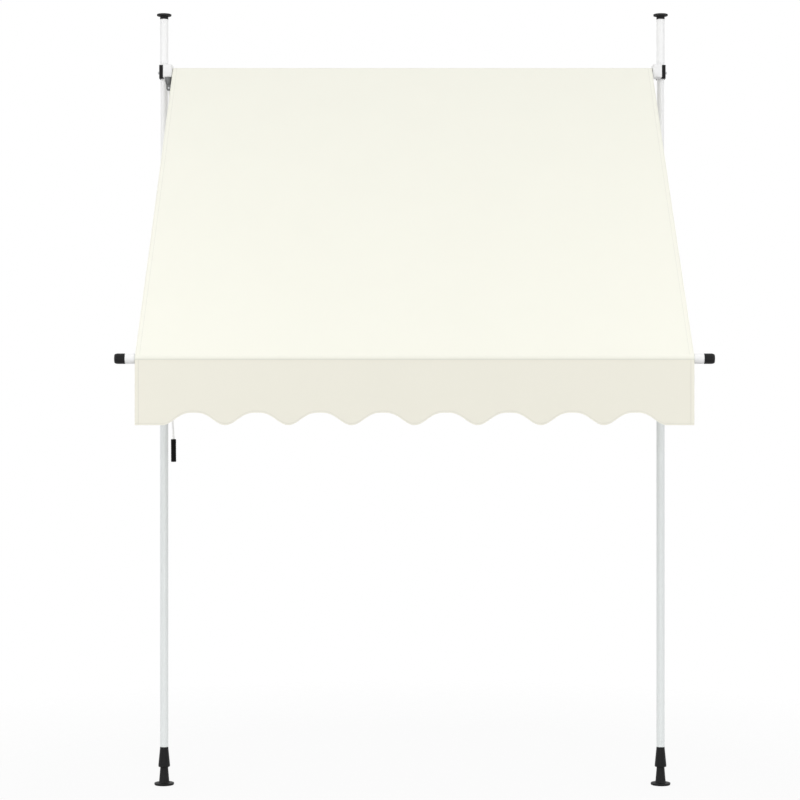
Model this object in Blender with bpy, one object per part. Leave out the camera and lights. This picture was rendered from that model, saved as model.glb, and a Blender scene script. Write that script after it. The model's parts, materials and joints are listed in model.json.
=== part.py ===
"""Canvas awning wedged between floor and ceiling: two telescopic posts, a cranked roller and two swing arms.

Metres, +Z up. The origin is on the floor, midway between the posts. The awning reaches out along -Y.
"""

from math import cos, pi, radians, sin, tau

import bmesh
import bpy
from mathutils import Matrix, Vector

# Whole awning
TOTAL_HEIGHT = 3.020
POST_SPACING = 1.946
ARM_LENGTH = 1.122
PIVOT_FORWARD = 0.078
FOLD_ANGLE = radians(86)
ROLLER_DROP = 0.237
ROLLER_FORWARD = 0.055
FOLDED_BAR_DROP = 0.018

# Clearances
SEAT_GAP = 0.0003
RUNNING_GAP = 0.0005
FABRIC_GAP = 0.0020
FABRIC_MARGIN = 0.0027
SIDE_GAP = 0.0030

# Shared details
CHAMFER = 0.0010
CUT_PAST = 0.0100
JOIN_DEPTH = 0.0020

# Posts
LOWER_TUBE_RADIUS = 0.0160
UPPER_TUBE_RADIUS = 0.0140
TUBE_WALL = 0.0012
TUBE_OVERLAP = 0.200
HEIGHT_TRAVEL = 0.100
COLLAR_HEIGHT = 0.045
COLLAR_LIP = 0.010
COLLAR_WALL = 0.0045
COLLAR_EASE = 0.0020
PLUG_LENGTH = 0.050
EAR_HALF = 0.0080
EAR_REACH = 0.0140
EAR_MARGIN = 0.0040
CLAMP_SLOT = 0.0020

# Feet and top pads
SOLE_RADIUS = 0.0380
SOLE_HEIGHT = 0.0025
FOOT_RADIUS = 0.0390
FOOT_DISC_HEIGHT = 0.0085
FOOT_EASE = 0.0015
FOOT_CONE_RADIUS = 0.0200
FOOT_FLARE = 0.0030
FOOT_FLARE_HEIGHT = 0.0060
FOOT_NECK_RADIUS = 0.0157
FOOT_NECK_HEIGHT = 0.0050
FOOT_TOP = 0.0700
SPINDLE_RADIUS = 0.0080
SPINDLE_LENGTH = 0.2900
SPINDLE_RISE = 0.0040
NUT_RADIUS = 0.0230
NUT_RIM = 0.0060
NUT_HEIGHT = 0.0775
NUT_GAP = 0.0012
TOP_PAD_RADIUS = 0.0285
TOP_PAD_HEIGHT = 0.0070
TOP_NECK_HEIGHT = 0.0130
TOP_NECK_RADIUS = 0.0162

# Head
CLAMP_HEIGHT = 0.053
CLAMP_DROP = 0.0180
CLAMP_OUTER = 0.0170
CLAMP_INNER = 0.0155
CLAMP_HALF_DEPTH = 0.0240
HOUSING_HEIGHT = 0.0513
HOUSING_DROP = 0.0212
HOUSING_FRONT = 0.0800
HOUSING_INNER = 0.0360
HOUSING_SETBACK = 0.0045
HOUSING_WALL = 0.0050
HOUSING_ROUND = 0.0100
HOUSING_ROUND_LOW = 0.0040
COVER_THICKNESS = 0.0030
COVER_SETBACK = 0.0020
COVER_CORNER = 0.0060
SCREW_RISE = 0.0247
SCREW_RADIUS = 0.0030
SCREW_HEAD_RADIUS = 0.0052
SCREW_HEAD_HEIGHT = 0.0070
BOLT_HEAD_HEIGHT = 0.0045
BOLT_END = 0.0010

# Roller, worm gear and crank
ROLLER_RADIUS = 0.0150
ROLLER_WALL = 0.0012
ROLL_RADIUS = 0.0175
PIN_RADIUS = 0.0040
PIN_END = 0.0020
ROLLER_FLANGE = 0.0012
BUSH_WALL = 0.0030
BUSH_DEPTH = 0.0180
WHEEL_TEETH = 10
WORM_STARTS = 2
GEAR_MODULE = 0.0015
WORM_PITCH_RADIUS = 0.0045
TOOTH_HEIGHT = 0.0012
ROOT_DEPTH = 0.0016
TOOTH_FLANK = 0.18
WHEEL_TOOTH_SHARE = 0.20
WORM_THREAD_SHARE = 0.26
WHEEL_WIDTH = 0.0080
WORM_LENGTH = 0.0170
WORM_JOURNAL = 0.0046
WORM_TOP = 0.0040
WORM_PIN_RADIUS = 0.0026
STEM_RADIUS = 0.0034
JOURNAL_END = 0.0490
GEAR_ROOM = 0.0013
CRANK_TILT = radians(4.0)
CRANK_SLANT = radians(0.85)
CRANK_OFFSET = 0.0256
NECK_RADIUS = 0.0150
NECK_HEIGHT = 0.0262
NECK_STRAIGHT = 0.0100
NECK_FLOOR = 0.0040
NECK_FOOT_RADIUS = 0.0112
YOKE_DROP = 0.0650
YOKE_RADIUS = 0.0098
YOKE_DEPTH = 0.0125
YOKE_SLOT = 0.0064
YOKE_RISE = 0.0145
YOKE_WEB = 0.0040
KNUCKLE_PIN_RADIUS = 0.0024
KNUCKLE_PIN_HEAD = 0.0038
KNUCKLE_PIN_HEAD_HEIGHT = 0.0010
TONGUE_RADIUS = 0.0050
TONGUE_NECK = 0.0027
TONGUE_LENGTH = 0.0130
TONGUE_TAPER = 0.0040
CRANK_RADIUS = 0.0040
CRANK_SHAFT = 1.2078
CRANK_THROW = 0.1220
CRANK_THROW_DROP = 0.1400
CRANK_BEND = 0.0120
CRANK_HANDLE = 0.0900
THROW_TURN = radians(10)
GRIP_RADIUS = 0.0098
GRIP_EASE = 0.0020
GRIP_END = 0.0060
GRIP_STAND = 0.0100
UPPER_GRIP_LENGTH = 0.1000
LOWER_GRIP_LENGTH = 0.0860

# Arms
ARM_RADIUS = 0.0100
ARM_WALL = 0.0012
ARM_OFFSET = 0.0195
KNUCKLE_RADIUS = 0.0120
KNUCKLE_LENGTH = 0.0300
ARM_CLAMP_HEIGHT = 0.048
ARM_CLAMP_WALL = 0.0070
ARM_CLAMP_BACK = 0.0200
ARM_CLAMP_FRONT = 0.0120
BRACE_INNER = 0.0200
BRACE_OUTER = 0.0350
PRONG_WIDTH = 0.0036
FORK_ROOM = 0.0040
PIVOT_RADIUS = 0.0040
PIVOT_HEAD_RADIUS = 0.0068
RING_RADIUS = 0.0172
RING_WIDTH = 0.0320
RING_STUB = 0.0200

# Front bar and fabric
BAR_RADIUS = 0.0150
BAR_WALL = 0.0013
CAP_LENGTH = 0.0345
CAP_RADIUS = 0.0176
CAP_PLUG = 0.0200
CAP_TAPER = 0.0020
CAP_TAPER_LENGTH = 0.0080
CAP_EDGE = 0.0015
CLOTH_THICKNESS = 0.0008
VALANCE_HIGH = 0.1800
VALANCE_SEAM = 0.0030
SCALLOP_DEPTH = 0.0416
SCALLOP_PERIOD = 0.2100
SCALLOP_POWER = 1.5
SCALLOP_STEPS = 10
SCALLOP_END = 0.0200

# Derived places
POST_X = POST_SPACING / 2
ROLLER_Z = TOTAL_HEIGHT - ROLLER_DROP
PIVOT_Z = ROLLER_Z - ARM_LENGTH * sin(FOLD_ANGLE) - FOLDED_BAR_DROP
BAR_Y = -PIVOT_FORWARD - ARM_LENGTH
ARM_CLAMP_BASE = PIVOT_Z - ARM_CLAMP_HEIGHT / 2
LOWER_TUBE_TOP = ARM_CLAMP_BASE - HEIGHT_TRAVEL - COLLAR_LIP - SIDE_GAP
NUT_BASE = FOOT_TOP + NUT_GAP
LOWER_TUBE_BASE = NUT_BASE + NUT_HEIGHT + SEAT_GAP
UPPER_TUBE_TOP = TOTAL_HEIGHT - TOP_PAD_HEIGHT - TOP_NECK_HEIGHT - SEAT_GAP
CLAMP_BASE = ROLLER_Z - CLAMP_DROP
CLAMP_TOP = CLAMP_BASE + CLAMP_HEIGHT
HOUSING_BASE = ROLLER_Z - HOUSING_DROP
HOUSING_BACK = CLAMP_HALF_DEPTH + SEAT_GAP
HOUSING_X = POST_X - HOUSING_INNER
FABRIC_HALF = HOUSING_X - COVER_THICKNESS - SEAT_GAP - FABRIC_MARGIN
RING_X = FABRIC_HALF + FABRIC_GAP + RING_WIDTH / 2
ARM_X = POST_X - ARM_OFFSET
CAP_X = RING_X + RING_WIDTH / 2 + RUNNING_GAP
WHEEL_PITCH_RADIUS = WHEEL_TEETH * GEAR_MODULE / 2
GEAR_CENTRES = WHEEL_PITCH_RADIUS + WORM_PITCH_RADIUS
WORM_LEAD = WORM_STARTS * pi * GEAR_MODULE
WORM_TIP = WORM_PITCH_RADIUS + TOOTH_HEIGHT
PIN_BORE = PIN_RADIUS + RUNNING_GAP
POCKET_RADIUS = BAR_RADIUS + SEAT_GAP + CLOTH_THICKNESS
SCALLOPS_PER_SIDE = int((FABRIC_HALF - SCALLOP_END) / SCALLOP_PERIOD)
LAST_LOW = SCALLOPS_PER_SIDE * SCALLOP_PERIOD
SIDES = {"left": -1, "right": 1}

# Turns for outlines: a section drawn as (depth, height) and run along X, and a sheet drawn as (x, height)
ACROSS = Matrix(((0, 0, 1, 0), (1, 0, 0, 0), (0, 1, 0, 0), (0, 0, 0, 1)))
UPRIGHT = Matrix(((1, 0, 0, 0), (0, 0, -1, 0), (0, 1, 0, 0), (0, 0, 0, 1)))


def clear_scene():
    """Removes whatever the file starts with."""
    for old in list(bpy.data.objects):
        bpy.data.objects.remove(old, do_unlink=True)


def material(name, colour, roughness, metallic=0.0):
    """One plain surface."""
    made = bpy.data.materials.new(name)
    made.use_nodes = True
    shader = made.node_tree.nodes["Principled BSDF"]
    shader.inputs["Base Color"].default_value = (*colour, 1.0)
    shader.inputs["Roughness"].default_value = roughness
    shader.inputs["Metallic"].default_value = metallic
    made.diffuse_color = (*colour, 1.0)
    return made


clear_scene()
WHITE = material("white_coat", (0.80, 0.81, 0.80), 0.35)
WHITE_PLASTIC = material("white_plastic", (0.82, 0.82, 0.80), 0.5)
BLACK = material("black_plastic", (0.02, 0.02, 0.022), 0.45)
RUBBER = material("rubber", (0.015, 0.015, 0.015), 0.85)
STEEL = material("zinc_steel", (0.55, 0.56, 0.58), 0.35, 1.0)
GREY = material("grey_casting", (0.28, 0.29, 0.30), 0.45, 0.6)
NYLON = material("nylon", (0.75, 0.73, 0.66), 0.5)
CANVAS = material("canvas", (0.86, 0.85, 0.76), 0.9)


def add_object(name, shape, skin, place, smooth=35):
    """Turns a bmesh into a named object. place is its matrix in the world."""
    bmesh.ops.recalc_face_normals(shape, faces=shape.faces)
    mesh = bpy.data.meshes.new(name)
    shape.to_mesh(mesh)
    shape.free()
    mesh.materials.append(skin)
    mesh.shade_smooth()
    mesh.set_sharp_from_angle(angle=radians(smooth))
    made = bpy.data.objects.new(name, mesh)
    made.matrix_world = place
    bpy.context.scene.collection.objects.link(made)
    return made


def carried(piece, carrier):
    """Parents a piece to what carries it, and leaves it where it is."""
    piece.parent = carrier
    piece.matrix_parent_inverse = carrier.matrix_world.inverted()
    return piece


def at(x, y, z, axis="Z"):
    """A place whose local Z points along a world axis."""
    turns = {
        "Z": Matrix.Identity(4),
        "X": Matrix.Rotation(pi / 2, 4, "Y"),
        "-X": Matrix.Rotation(-pi / 2, 4, "Y"),
        "-Y": Matrix.Rotation(pi / 2, 4, "X"),
        "Y": Matrix.Rotation(-pi / 2, 4, "X"),
    }
    return Matrix.Translation((x, y, z)) @ turns[axis]


def outward(sign):
    """The name of the X direction that points away from the awning's middle."""
    return "X" if sign > 0 else "-X"


def inward(sign):
    """The name of the X direction that points to the awning's middle."""
    return outward(-sign)


def mirrored(outline, sign):
    """An outline drawn for the right post, turned over for the left one."""
    return [(x * sign, y) for x, y in outline]


def arc(centre, radius, start, end, steps):
    """Points (x, y) on an arc."""
    angles = [start + (end - start) * i / steps for i in range(steps + 1)]
    return [(centre[0] + radius * cos(a), centre[1] + radius * sin(a)) for a in angles]


def circle(radius, height, count):
    """Points of a circle about local Z."""
    return [Vector((x, y, height)) for x, y in arc((0, 0), radius, 0, tau, count)[:-1]]


def rectangle(left, right, back, front):
    """The four corners (x, y) of a box seen from above."""
    return [(left, back), (right, back), (right, front), (left, front)]


def skin_rings(shape, rings, closed):
    """Joins each ring to the next. A ring of one point is a pole."""
    built = [[shape.verts.new(point) for point in ring] for ring in rings]
    pairs = list(zip(built, built[1:]))
    if closed:
        pairs.append((built[-1], built[0]))
    for low, high in pairs:
        for i in range(max(len(low), len(high))):
            j = i + 1
            corners = [low[i % len(low)], low[j % len(low)], high[j % len(high)], high[i % len(high)]]
            shape.faces.new(list(dict.fromkeys(corners)))
    return built


def turned(name, outline, skin, place, count=20):
    """A lathe piece from (radius, height) points. Points on the axis close it. Otherwise it has a bore."""
    shape = bmesh.new()
    rings = [circle(r, h, count) if r > 0 else [Vector((0, 0, h))] for r, h in outline]
    skin_rings(shape, rings, closed=outline[0][0] > 0)
    return add_object(name, shape, skin, place)


def pipe(name, outer, inner, low, high, skin, place, count=20):
    """A plain tube from low to high along local Z."""
    return turned(name, [(outer, low), (outer, high), (inner, high), (inner, low)], skin, place, count)


def rod(name, radius, low, high, skin, place, count=16):
    """A plain round bar from low to high along local Z."""
    return turned(name, [(0, low), (radius, low), (radius, high), (0, high)], skin, place, count)


def extruded(name, outline, low, high, skin, place):
    """A prism on (x, y) points, from low to high along local Z."""
    shape = bmesh.new()
    face = shape.faces.new([shape.verts.new((x, y, low)) for x, y in outline])
    raised = bmesh.ops.extrude_face_region(shape, geom=[face])["geom"]
    corners = [item for item in raised if isinstance(item, bmesh.types.BMVert)]
    bmesh.ops.translate(shape, vec=(0, 0, high - low), verts=corners)
    return add_object(name, shape, skin, place)


def joined(target, helper, operation):
    """Adds or cuts away a helper shape, which then moves with the piece."""
    helper.hide_render = True
    helper.display_type = "WIRE"
    carried(helper, target)
    step = target.modifiers.new(operation.lower(), "BOOLEAN")
    step.operation = operation
    step.object = helper
    step.solver = "EXACT"
    return target


def swept(name, path, skin, place, count=10):
    """A wire along (point, radius) stations, whose path stays near one plane."""
    shape = bmesh.new()
    rings = []
    points = [Vector(point) for point, _ in path]
    side = Vector((1, 0, 0))
    for i, (point, radius) in enumerate(path):
        along = (points[min(i + 1, len(points) - 1)] - points[max(i - 1, 0)]).normalized()
        side = (side - along * side.dot(along)).normalized()
        other = along.cross(side)
        rings.append([points[i] + side * x + other * y for x, y, _ in circle(radius, 0, count)])
    built = skin_rings(shape, rings, closed=False)
    shape.faces.new(built[0])
    shape.faces.new(built[-1])
    return add_object(name, shape, skin, place)


def hex_bolt(name, length, place, radius=SCREW_RADIUS, head_radius=SCREW_HEAD_RADIUS, head=BOLT_HEAD_HEIGHT):
    """A hexagon head below local zero and a shank that runs up from it."""
    count = 12
    shape = bmesh.new()
    rings = [[Vector((0, 0, -head))], circle(head_radius, -head, count), circle(head_radius, 0, count),
             circle(radius, 0, count), circle(radius, length, count), [Vector((0, 0, length))]]
    for ring in rings[1:3]:
        for i in range(1, count, 2):
            ring[i] = (ring[i - 1] + ring[(i + 1) % count]) / 2
    skin_rings(shape, rings, closed=False)
    return add_object(name, shape, STEEL, place, 25)


def split_ears(clamp, name, sign, back, bore, base, top):
    """Gives a clamp two ears behind the post, with a slot between them and a bolt through both."""
    post = at(sign * POST_X, 0, 0)
    ear_back = back + EAR_REACH
    ears = rectangle(-EAR_HALF, EAR_HALF, ear_back, back - JOIN_DEPTH)
    joined(clamp, extruded(name + "_ears", ears, base + EAR_MARGIN, top - EAR_MARGIN, BLACK, post), "UNION")
    slot = rectangle(-CLAMP_SLOT / 2, CLAMP_SLOT / 2, ear_back + CUT_PAST, bore - JOIN_DEPTH)
    joined(clamp, extruded(name + "_slot", slot, base - CUT_PAST, top + CUT_PAST, BLACK, post), "DIFFERENCE")
    height = (base + top) / 2
    depth = (back + ear_back) / 2
    reach = EAR_HALF + SEAT_GAP
    past = EAR_HALF + CUT_PAST
    joined(clamp, rod(name + "_hole", SCREW_RADIUS + SEAT_GAP, -past, past, BLACK,
                      at(sign * POST_X, depth, height, "X"), 12), "DIFFERENCE")
    hex_bolt(name + "_bolt", 2 * reach + BOLT_END, at(sign * (POST_X + reach), depth, height, inward(sign)))


def build_foot(side, sign):
    """Sole, base, spindle and jack nut under one post."""
    place = at(sign * POST_X, 0, 0)
    turned(f"{side}_foot_sole", [
        (0, 0), (SOLE_RADIUS - CHAMFER, 0), (SOLE_RADIUS, CHAMFER), (SOLE_RADIUS, SOLE_HEIGHT),
        (0, SOLE_HEIGHT),
    ], RUBBER, place)
    base = SOLE_HEIGHT + SEAT_GAP
    bore = SPINDLE_RADIUS + SEAT_GAP
    seat = FOOT_DISC_HEIGHT + SPINDLE_RISE
    turned(f"{side}_foot_base", [
        (0, base), (FOOT_RADIUS - FOOT_EASE, base), (FOOT_RADIUS, base + FOOT_EASE),
        (FOOT_RADIUS, FOOT_DISC_HEIGHT - FOOT_EASE), (FOOT_RADIUS - FOOT_EASE, FOOT_DISC_HEIGHT),
        (FOOT_CONE_RADIUS + FOOT_FLARE, FOOT_DISC_HEIGHT + CHAMFER),
        (FOOT_CONE_RADIUS, FOOT_DISC_HEIGHT + FOOT_FLARE_HEIGHT),
        (FOOT_NECK_RADIUS, FOOT_TOP - FOOT_NECK_HEIGHT), (FOOT_NECK_RADIUS, FOOT_TOP), (bore, FOOT_TOP),
        (bore, seat), (0, seat),
    ], BLACK, place)
    low = seat + SEAT_GAP
    high = low + SPINDLE_LENGTH
    turned(f"{side}_foot_spindle", [
        (0, low), (SPINDLE_RADIUS - CHAMFER, low), (SPINDLE_RADIUS, low + CHAMFER),
        (SPINDLE_RADIUS, high - CHAMFER), (SPINDLE_RADIUS - CHAMFER, high), (0, high),
    ], STEEL, place, 16)
    running = SPINDLE_RADIUS + RUNNING_GAP
    nut_top = NUT_BASE + NUT_HEIGHT
    turned(f"{side}_jack_nut", [
        (NUT_RADIUS - FOOT_EASE, NUT_BASE), (NUT_RADIUS, NUT_BASE + FOOT_EASE),
        (NUT_RADIUS, NUT_BASE + NUT_RIM), (LOWER_TUBE_RADIUS, nut_top), (running, nut_top),
        (running, NUT_BASE),
    ], BLACK, place)


def build_post(side, sign):
    """Tubes, guide plug, collar, sleeve and top pad of one post."""
    place = at(sign * POST_X, 0, 0)
    inside = LOWER_TUBE_RADIUS - TUBE_WALL
    upper_inside = UPPER_TUBE_RADIUS - TUBE_WALL
    upper_base = LOWER_TUBE_TOP - TUBE_OVERLAP
    pipe(f"{side}_lower_tube", LOWER_TUBE_RADIUS, inside, LOWER_TUBE_BASE, LOWER_TUBE_TOP, WHITE, place)
    pipe(f"{side}_guide_plug", inside - SEAT_GAP, SPINDLE_RADIUS + RUNNING_GAP, LOWER_TUBE_BASE,
         LOWER_TUBE_BASE + PLUG_LENGTH, BLACK, place, 16)
    pipe(f"{side}_upper_tube", UPPER_TUBE_RADIUS, upper_inside, upper_base, UPPER_TUBE_TOP, WHITE, place)
    pipe(f"{side}_top_sleeve", LOWER_TUBE_RADIUS, UPPER_TUBE_RADIUS + SEAT_GAP, CLAMP_TOP + SEAT_GAP,
         UPPER_TUBE_TOP, WHITE, place)
    neck = UPPER_TUBE_TOP + SEAT_GAP
    pad = neck + TOP_NECK_HEIGHT
    turned(f"{side}_top_plug", [
        (0, neck - PLUG_LENGTH), (upper_inside - SEAT_GAP, neck - PLUG_LENGTH),
        (upper_inside - SEAT_GAP, neck), (TOP_NECK_RADIUS, neck), (TOP_NECK_RADIUS, pad), (0, pad),
    ], BLACK, place, 16)
    low = pad + SEAT_GAP
    turned(f"{side}_top_pad", [
        (0, low), (TOP_PAD_RADIUS - CHAMFER, low), (TOP_PAD_RADIUS, low + CHAMFER),
        (TOP_PAD_RADIUS, TOTAL_HEIGHT - CHAMFER), (TOP_PAD_RADIUS - CHAMFER, TOTAL_HEIGHT), (0, TOTAL_HEIGHT),
    ], RUBBER, place)


def build_collar(side, sign):
    """Split clamp at the top of the lower tube, with a lip round the upper tube, and its bolt behind."""
    top = LOWER_TUBE_TOP + COLLAR_LIP
    base = top - COLLAR_HEIGHT
    bore = LOWER_TUBE_RADIUS + SEAT_GAP
    lip_bore = UPPER_TUBE_RADIUS + SEAT_GAP
    outer = bore + COLLAR_WALL
    seat = LOWER_TUBE_TOP + SEAT_GAP
    collar = turned(f"{side}_collar", [
        (outer, base), (outer, top - COLLAR_EASE), (outer - COLLAR_EASE, top), (lip_bore, top),
        (lip_bore, seat), (bore, seat), (bore, base),
    ], BLACK, at(sign * POST_X, 0, 0))
    split_ears(collar, f"{side}_collar", sign, outer, lip_bore, base, top)


def build_head_clamp(side, sign):
    """Block round the post under the sleeve, whose front face carries the housing, and its pressure screw."""
    place = at(sign * POST_X, 0, 0)
    bore = UPPER_TUBE_RADIUS + SEAT_GAP
    block = rectangle(-CLAMP_INNER, CLAMP_OUTER, CLAMP_HALF_DEPTH, -CLAMP_HALF_DEPTH)
    clamp = extruded(f"{side}_head_clamp", mirrored(block, sign), CLAMP_BASE, CLAMP_TOP, BLACK, place)
    joined(clamp, rod(f"{side}_clamp_bore", bore, CLAMP_BASE - CUT_PAST, CLAMP_TOP + CUT_PAST, BLACK, place,
                      20), "DIFFERENCE")
    screw_z = CLAMP_BASE + SCREW_RISE
    joined(clamp, rod(f"{side}_screw_hole", SCREW_RADIUS + SEAT_GAP, -CUT_PAST, CUT_PAST, BLACK,
                      at(sign * (POST_X + CLAMP_OUTER), 0, screw_z, "X"), 12), "DIFFERENCE")
    head = CLAMP_OUTER + SEAT_GAP
    hex_bolt(f"{side}_head_screw", head - bore, at(sign * (POST_X + head), 0, screw_z, inward(sign)),
             head=SCREW_HEAD_HEIGHT)


def housing_outline():
    """(depth, height) section of a head housing, rounded at its front."""
    top = HOUSING_BASE + HOUSING_HEIGHT
    upper = arc((-HOUSING_FRONT + HOUSING_ROUND, top - HOUSING_ROUND), HOUSING_ROUND, pi / 2, pi, 4)
    lower = arc((-HOUSING_FRONT + HOUSING_ROUND_LOW, HOUSING_BASE + HOUSING_ROUND_LOW), HOUSING_ROUND_LOW, pi,
                1.5 * pi, 2)
    return [(-HOUSING_BACK, top)] + upper + lower + [(-HOUSING_BACK, HOUSING_BASE)]


def housing_body(name, sign):
    """White block on the front of the post clamp, between the post and the fabric."""
    low, high = sorted((-sign * HOUSING_INNER, -sign * HOUSING_SETBACK))
    return extruded(name, housing_outline(), low, high, WHITE_PLASTIC, at(sign * POST_X, 0, 0) @ ACROSS)


def build_cover(name, sign, sleeve=None):
    """White plate on a housing's inner face, cut away at its front corners and bored for the roller's pin."""
    low = HOUSING_BASE
    high = HOUSING_BASE + HOUSING_HEIGHT - COVER_SETBACK
    front = -HOUSING_FRONT + COVER_SETBACK
    back = -HOUSING_BACK - COVER_SETBACK
    outline = [(front, low + COVER_CORNER), (front + COVER_CORNER, low), (back, low), (back, high),
               (front + HOUSING_ROUND, high), (front, high - HOUSING_ROUND)]
    face = sign * (HOUSING_X - SEAT_GAP)
    start, end = sorted((0, -sign * COVER_THICKNESS))
    plate = extruded(name, outline, start, end, WHITE_PLASTIC, at(face, 0, 0) @ ACROSS)
    if sleeve:
        joined(plate, sleeve, "UNION")
    bore = rod(name + "_bore", PIN_BORE, -BUSH_DEPTH - CUT_PAST, BUSH_DEPTH + CUT_PAST, BLACK,
               at(face, -ROLLER_FORWARD, ROLLER_Z, "X"))
    return joined(plate, bore, "DIFFERENCE")


def worm_frame():
    """Matrix whose local Z runs up the worm shaft, with its zero beside the worm wheel."""
    up = Vector((-sin(CRANK_SLANT), sin(CRANK_TILT) * cos(CRANK_SLANT), cos(CRANK_TILT) * cos(CRANK_SLANT)))
    side = (Vector((1, 0, 0)) - up * up.x).normalized()
    back = up.cross(side)
    nearest = Vector((0, -cos(CRANK_TILT), sin(CRANK_TILT))) * GEAR_CENTRES
    start = Vector((-POST_X + CRANK_OFFSET, -ROLLER_FORWARD, ROLLER_Z)) + nearest
    turn = Matrix((side, back, up)).transposed().to_4x4()
    return Matrix.Translation(start) @ turn


def build_gear_side():
    """Gear housing, neck, cover, worm wheel and worm shaft at the left post."""
    body = housing_body("gear_housing", -1)
    wheel_room = WHEEL_PITCH_RADIUS + TOOTH_HEIGHT + GEAR_ROOM
    depth = HOUSING_INNER - HOUSING_SETBACK - HOUSING_WALL
    front = -ROLLER_FORWARD - GEAR_CENTRES - WORM_TIP - GEAR_ROOM
    room = rectangle(front, -ROLLER_FORWARD + wheel_room, ROLLER_Z - wheel_room - GEAR_ROOM,
                     ROLLER_Z + WORM_LENGTH / 2 + WORM_TOP + GEAR_ROOM)
    place = at(-POST_X + HOUSING_INNER, 0, 0) @ ACROSS
    joined(body, extruded("gear_room", room, -depth, CUT_PAST, BLACK, place), "DIFFERENCE")
    frame = worm_frame()
    bore = WORM_JOURNAL + RUNNING_GAP
    joined(body, rod("worm_hole", bore, -YOKE_DROP, 0, BLACK, frame), "DIFFERENCE")
    drop = frame.translation.z - HOUSING_BASE
    neck_top = -drop / cos(CRANK_TILT) - NECK_RADIUS * sin(CRANK_TILT) - SEAT_GAP
    neck_floor = neck_top - NECK_HEIGHT
    turned("gear_neck", [
        (NECK_RADIUS, neck_top), (bore, neck_top), (bore, neck_floor), (NECK_FOOT_RADIUS, neck_floor),
        (NECK_FOOT_RADIUS, neck_floor + NECK_FLOOR), (NECK_RADIUS, neck_top - NECK_STRAIGHT),
    ], GREY, frame)
    build_cover("gear_cover", -1)
    build_worm_wheel()
    build_worm_shaft(frame)


def tooth(phase, share):
    """How far out a flank is at this phase of one tooth, from 0 at the root to 1 at the tip."""
    away = abs((phase + 0.5) % 1.0 - 0.5)
    return min(1.0, max(0.0, (share / 2 - away) / TOOTH_FLANK + 0.75))


def gear_rings(lobes, root, tip, low, high, twist, steps, per_lobe, share, phase=0.0):
    """Rings of a toothed bar whose section turns by twist over its length.

    share is a tooth's part of its pitch.
    """
    rings = []
    for k in range(steps + 1):
        height = low + (high - low) * k / steps
        turn = twist * (height - (low + high) / 2) / (high - low)
        ring = []
        for i in range(lobes * per_lobe):
            angle = tau * i / (lobes * per_lobe)
            radius = root + (tip - root) * tooth(i / per_lobe + phase, share)
            ring.append(Vector((radius * cos(angle + turn), radius * sin(angle + turn), height)))
        rings.append(ring)
    return rings


def build_worm_wheel():
    """Wheel on the roller's pin. Its teeth lean as the worm's thread does."""
    lean = WORM_LEAD / (tau * WORM_PITCH_RADIUS)
    twist = lean * WHEEL_WIDTH / WHEEL_PITCH_RADIUS
    half = WHEEL_WIDTH / 2
    rings = gear_rings(WHEEL_TEETH, WHEEL_PITCH_RADIUS - ROOT_DEPTH, WHEEL_PITCH_RADIUS + TOOTH_HEIGHT, -half,
                       half, twist, 2, 6, WHEEL_TOOTH_SHARE)
    count = len(rings[0])
    bore = PIN_RADIUS + SEAT_GAP
    rings += [circle(bore, half, count), circle(bore, -half, count)]
    shape = bmesh.new()
    skin_rings(shape, rings, closed=True)
    add_object("worm_wheel", shape, NYLON, at(-POST_X + CRANK_OFFSET, -ROLLER_FORWARD, ROLLER_Z, "X"))


def build_worm_shaft(frame):
    """Worm, journal and stem in one turned piece that ends in a yoke, and the pin across the yoke."""
    half = WORM_LENGTH / 2
    rings = gear_rings(WORM_STARTS, WORM_PITCH_RADIUS - ROOT_DEPTH, WORM_TIP, -half, half,
                       tau * WORM_LENGTH / WORM_LEAD, 20, 10, WORM_THREAD_SHARE, 0.5)
    count = len(rings[0])
    yoke_top = -YOKE_DROP + YOKE_RISE
    stem_end = yoke_top - YOKE_WEB / 2
    lower = [circle(STEM_RADIUS, stem_end, count), circle(STEM_RADIUS, -JOURNAL_END - CHAMFER, count),
             circle(WORM_JOURNAL, -JOURNAL_END, count), circle(WORM_JOURNAL, -half - 2 * CHAMFER, count)]
    top = half + WORM_TOP
    upper = [circle(WORM_PIN_RADIUS, half + CHAMFER, count), circle(WORM_PIN_RADIUS, top, count),
             [Vector((0, 0, top))]]
    shape = bmesh.new()
    skin_rings(shape, [[Vector((0, 0, stem_end))]] + lower + rings + upper, closed=False)
    shaft = add_object("worm_shaft", shape, GREY, frame)
    pin_place = frame @ at(0, 0, -YOKE_DROP, "-Y")
    face = YOKE_DEPTH / 2
    lug = arc((0, 0), YOKE_RADIUS, pi, tau, 8) + [(YOKE_RADIUS, YOKE_RISE), (-YOKE_RADIUS, YOKE_RISE)]
    joined(shaft, extruded("yoke", lug, -face, face, GREY, pin_place), "UNION")
    reach = YOKE_RADIUS + CUT_PAST
    slot = rectangle(-reach, reach, -reach, YOKE_RISE - YOKE_WEB)
    joined(shaft, extruded("yoke_slot", slot, -YOKE_SLOT / 2, YOKE_SLOT / 2, GREY, pin_place), "DIFFERENCE")
    bore = KNUCKLE_PIN_RADIUS + SEAT_GAP
    joined(shaft, rod("yoke_bore", bore, -face - CUT_PAST, face + CUT_PAST, GREY, pin_place, 12), "DIFFERENCE")
    head = face + SEAT_GAP
    turned("knuckle_pin", [
        (0, -head), (KNUCKLE_PIN_RADIUS, -head), (KNUCKLE_PIN_RADIUS, head), (KNUCKLE_PIN_HEAD, head),
        (KNUCKLE_PIN_HEAD, head + KNUCKLE_PIN_HEAD_HEIGHT), (0, head + KNUCKLE_PIN_HEAD_HEIGHT),
    ], STEEL, pin_place, 12)


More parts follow.
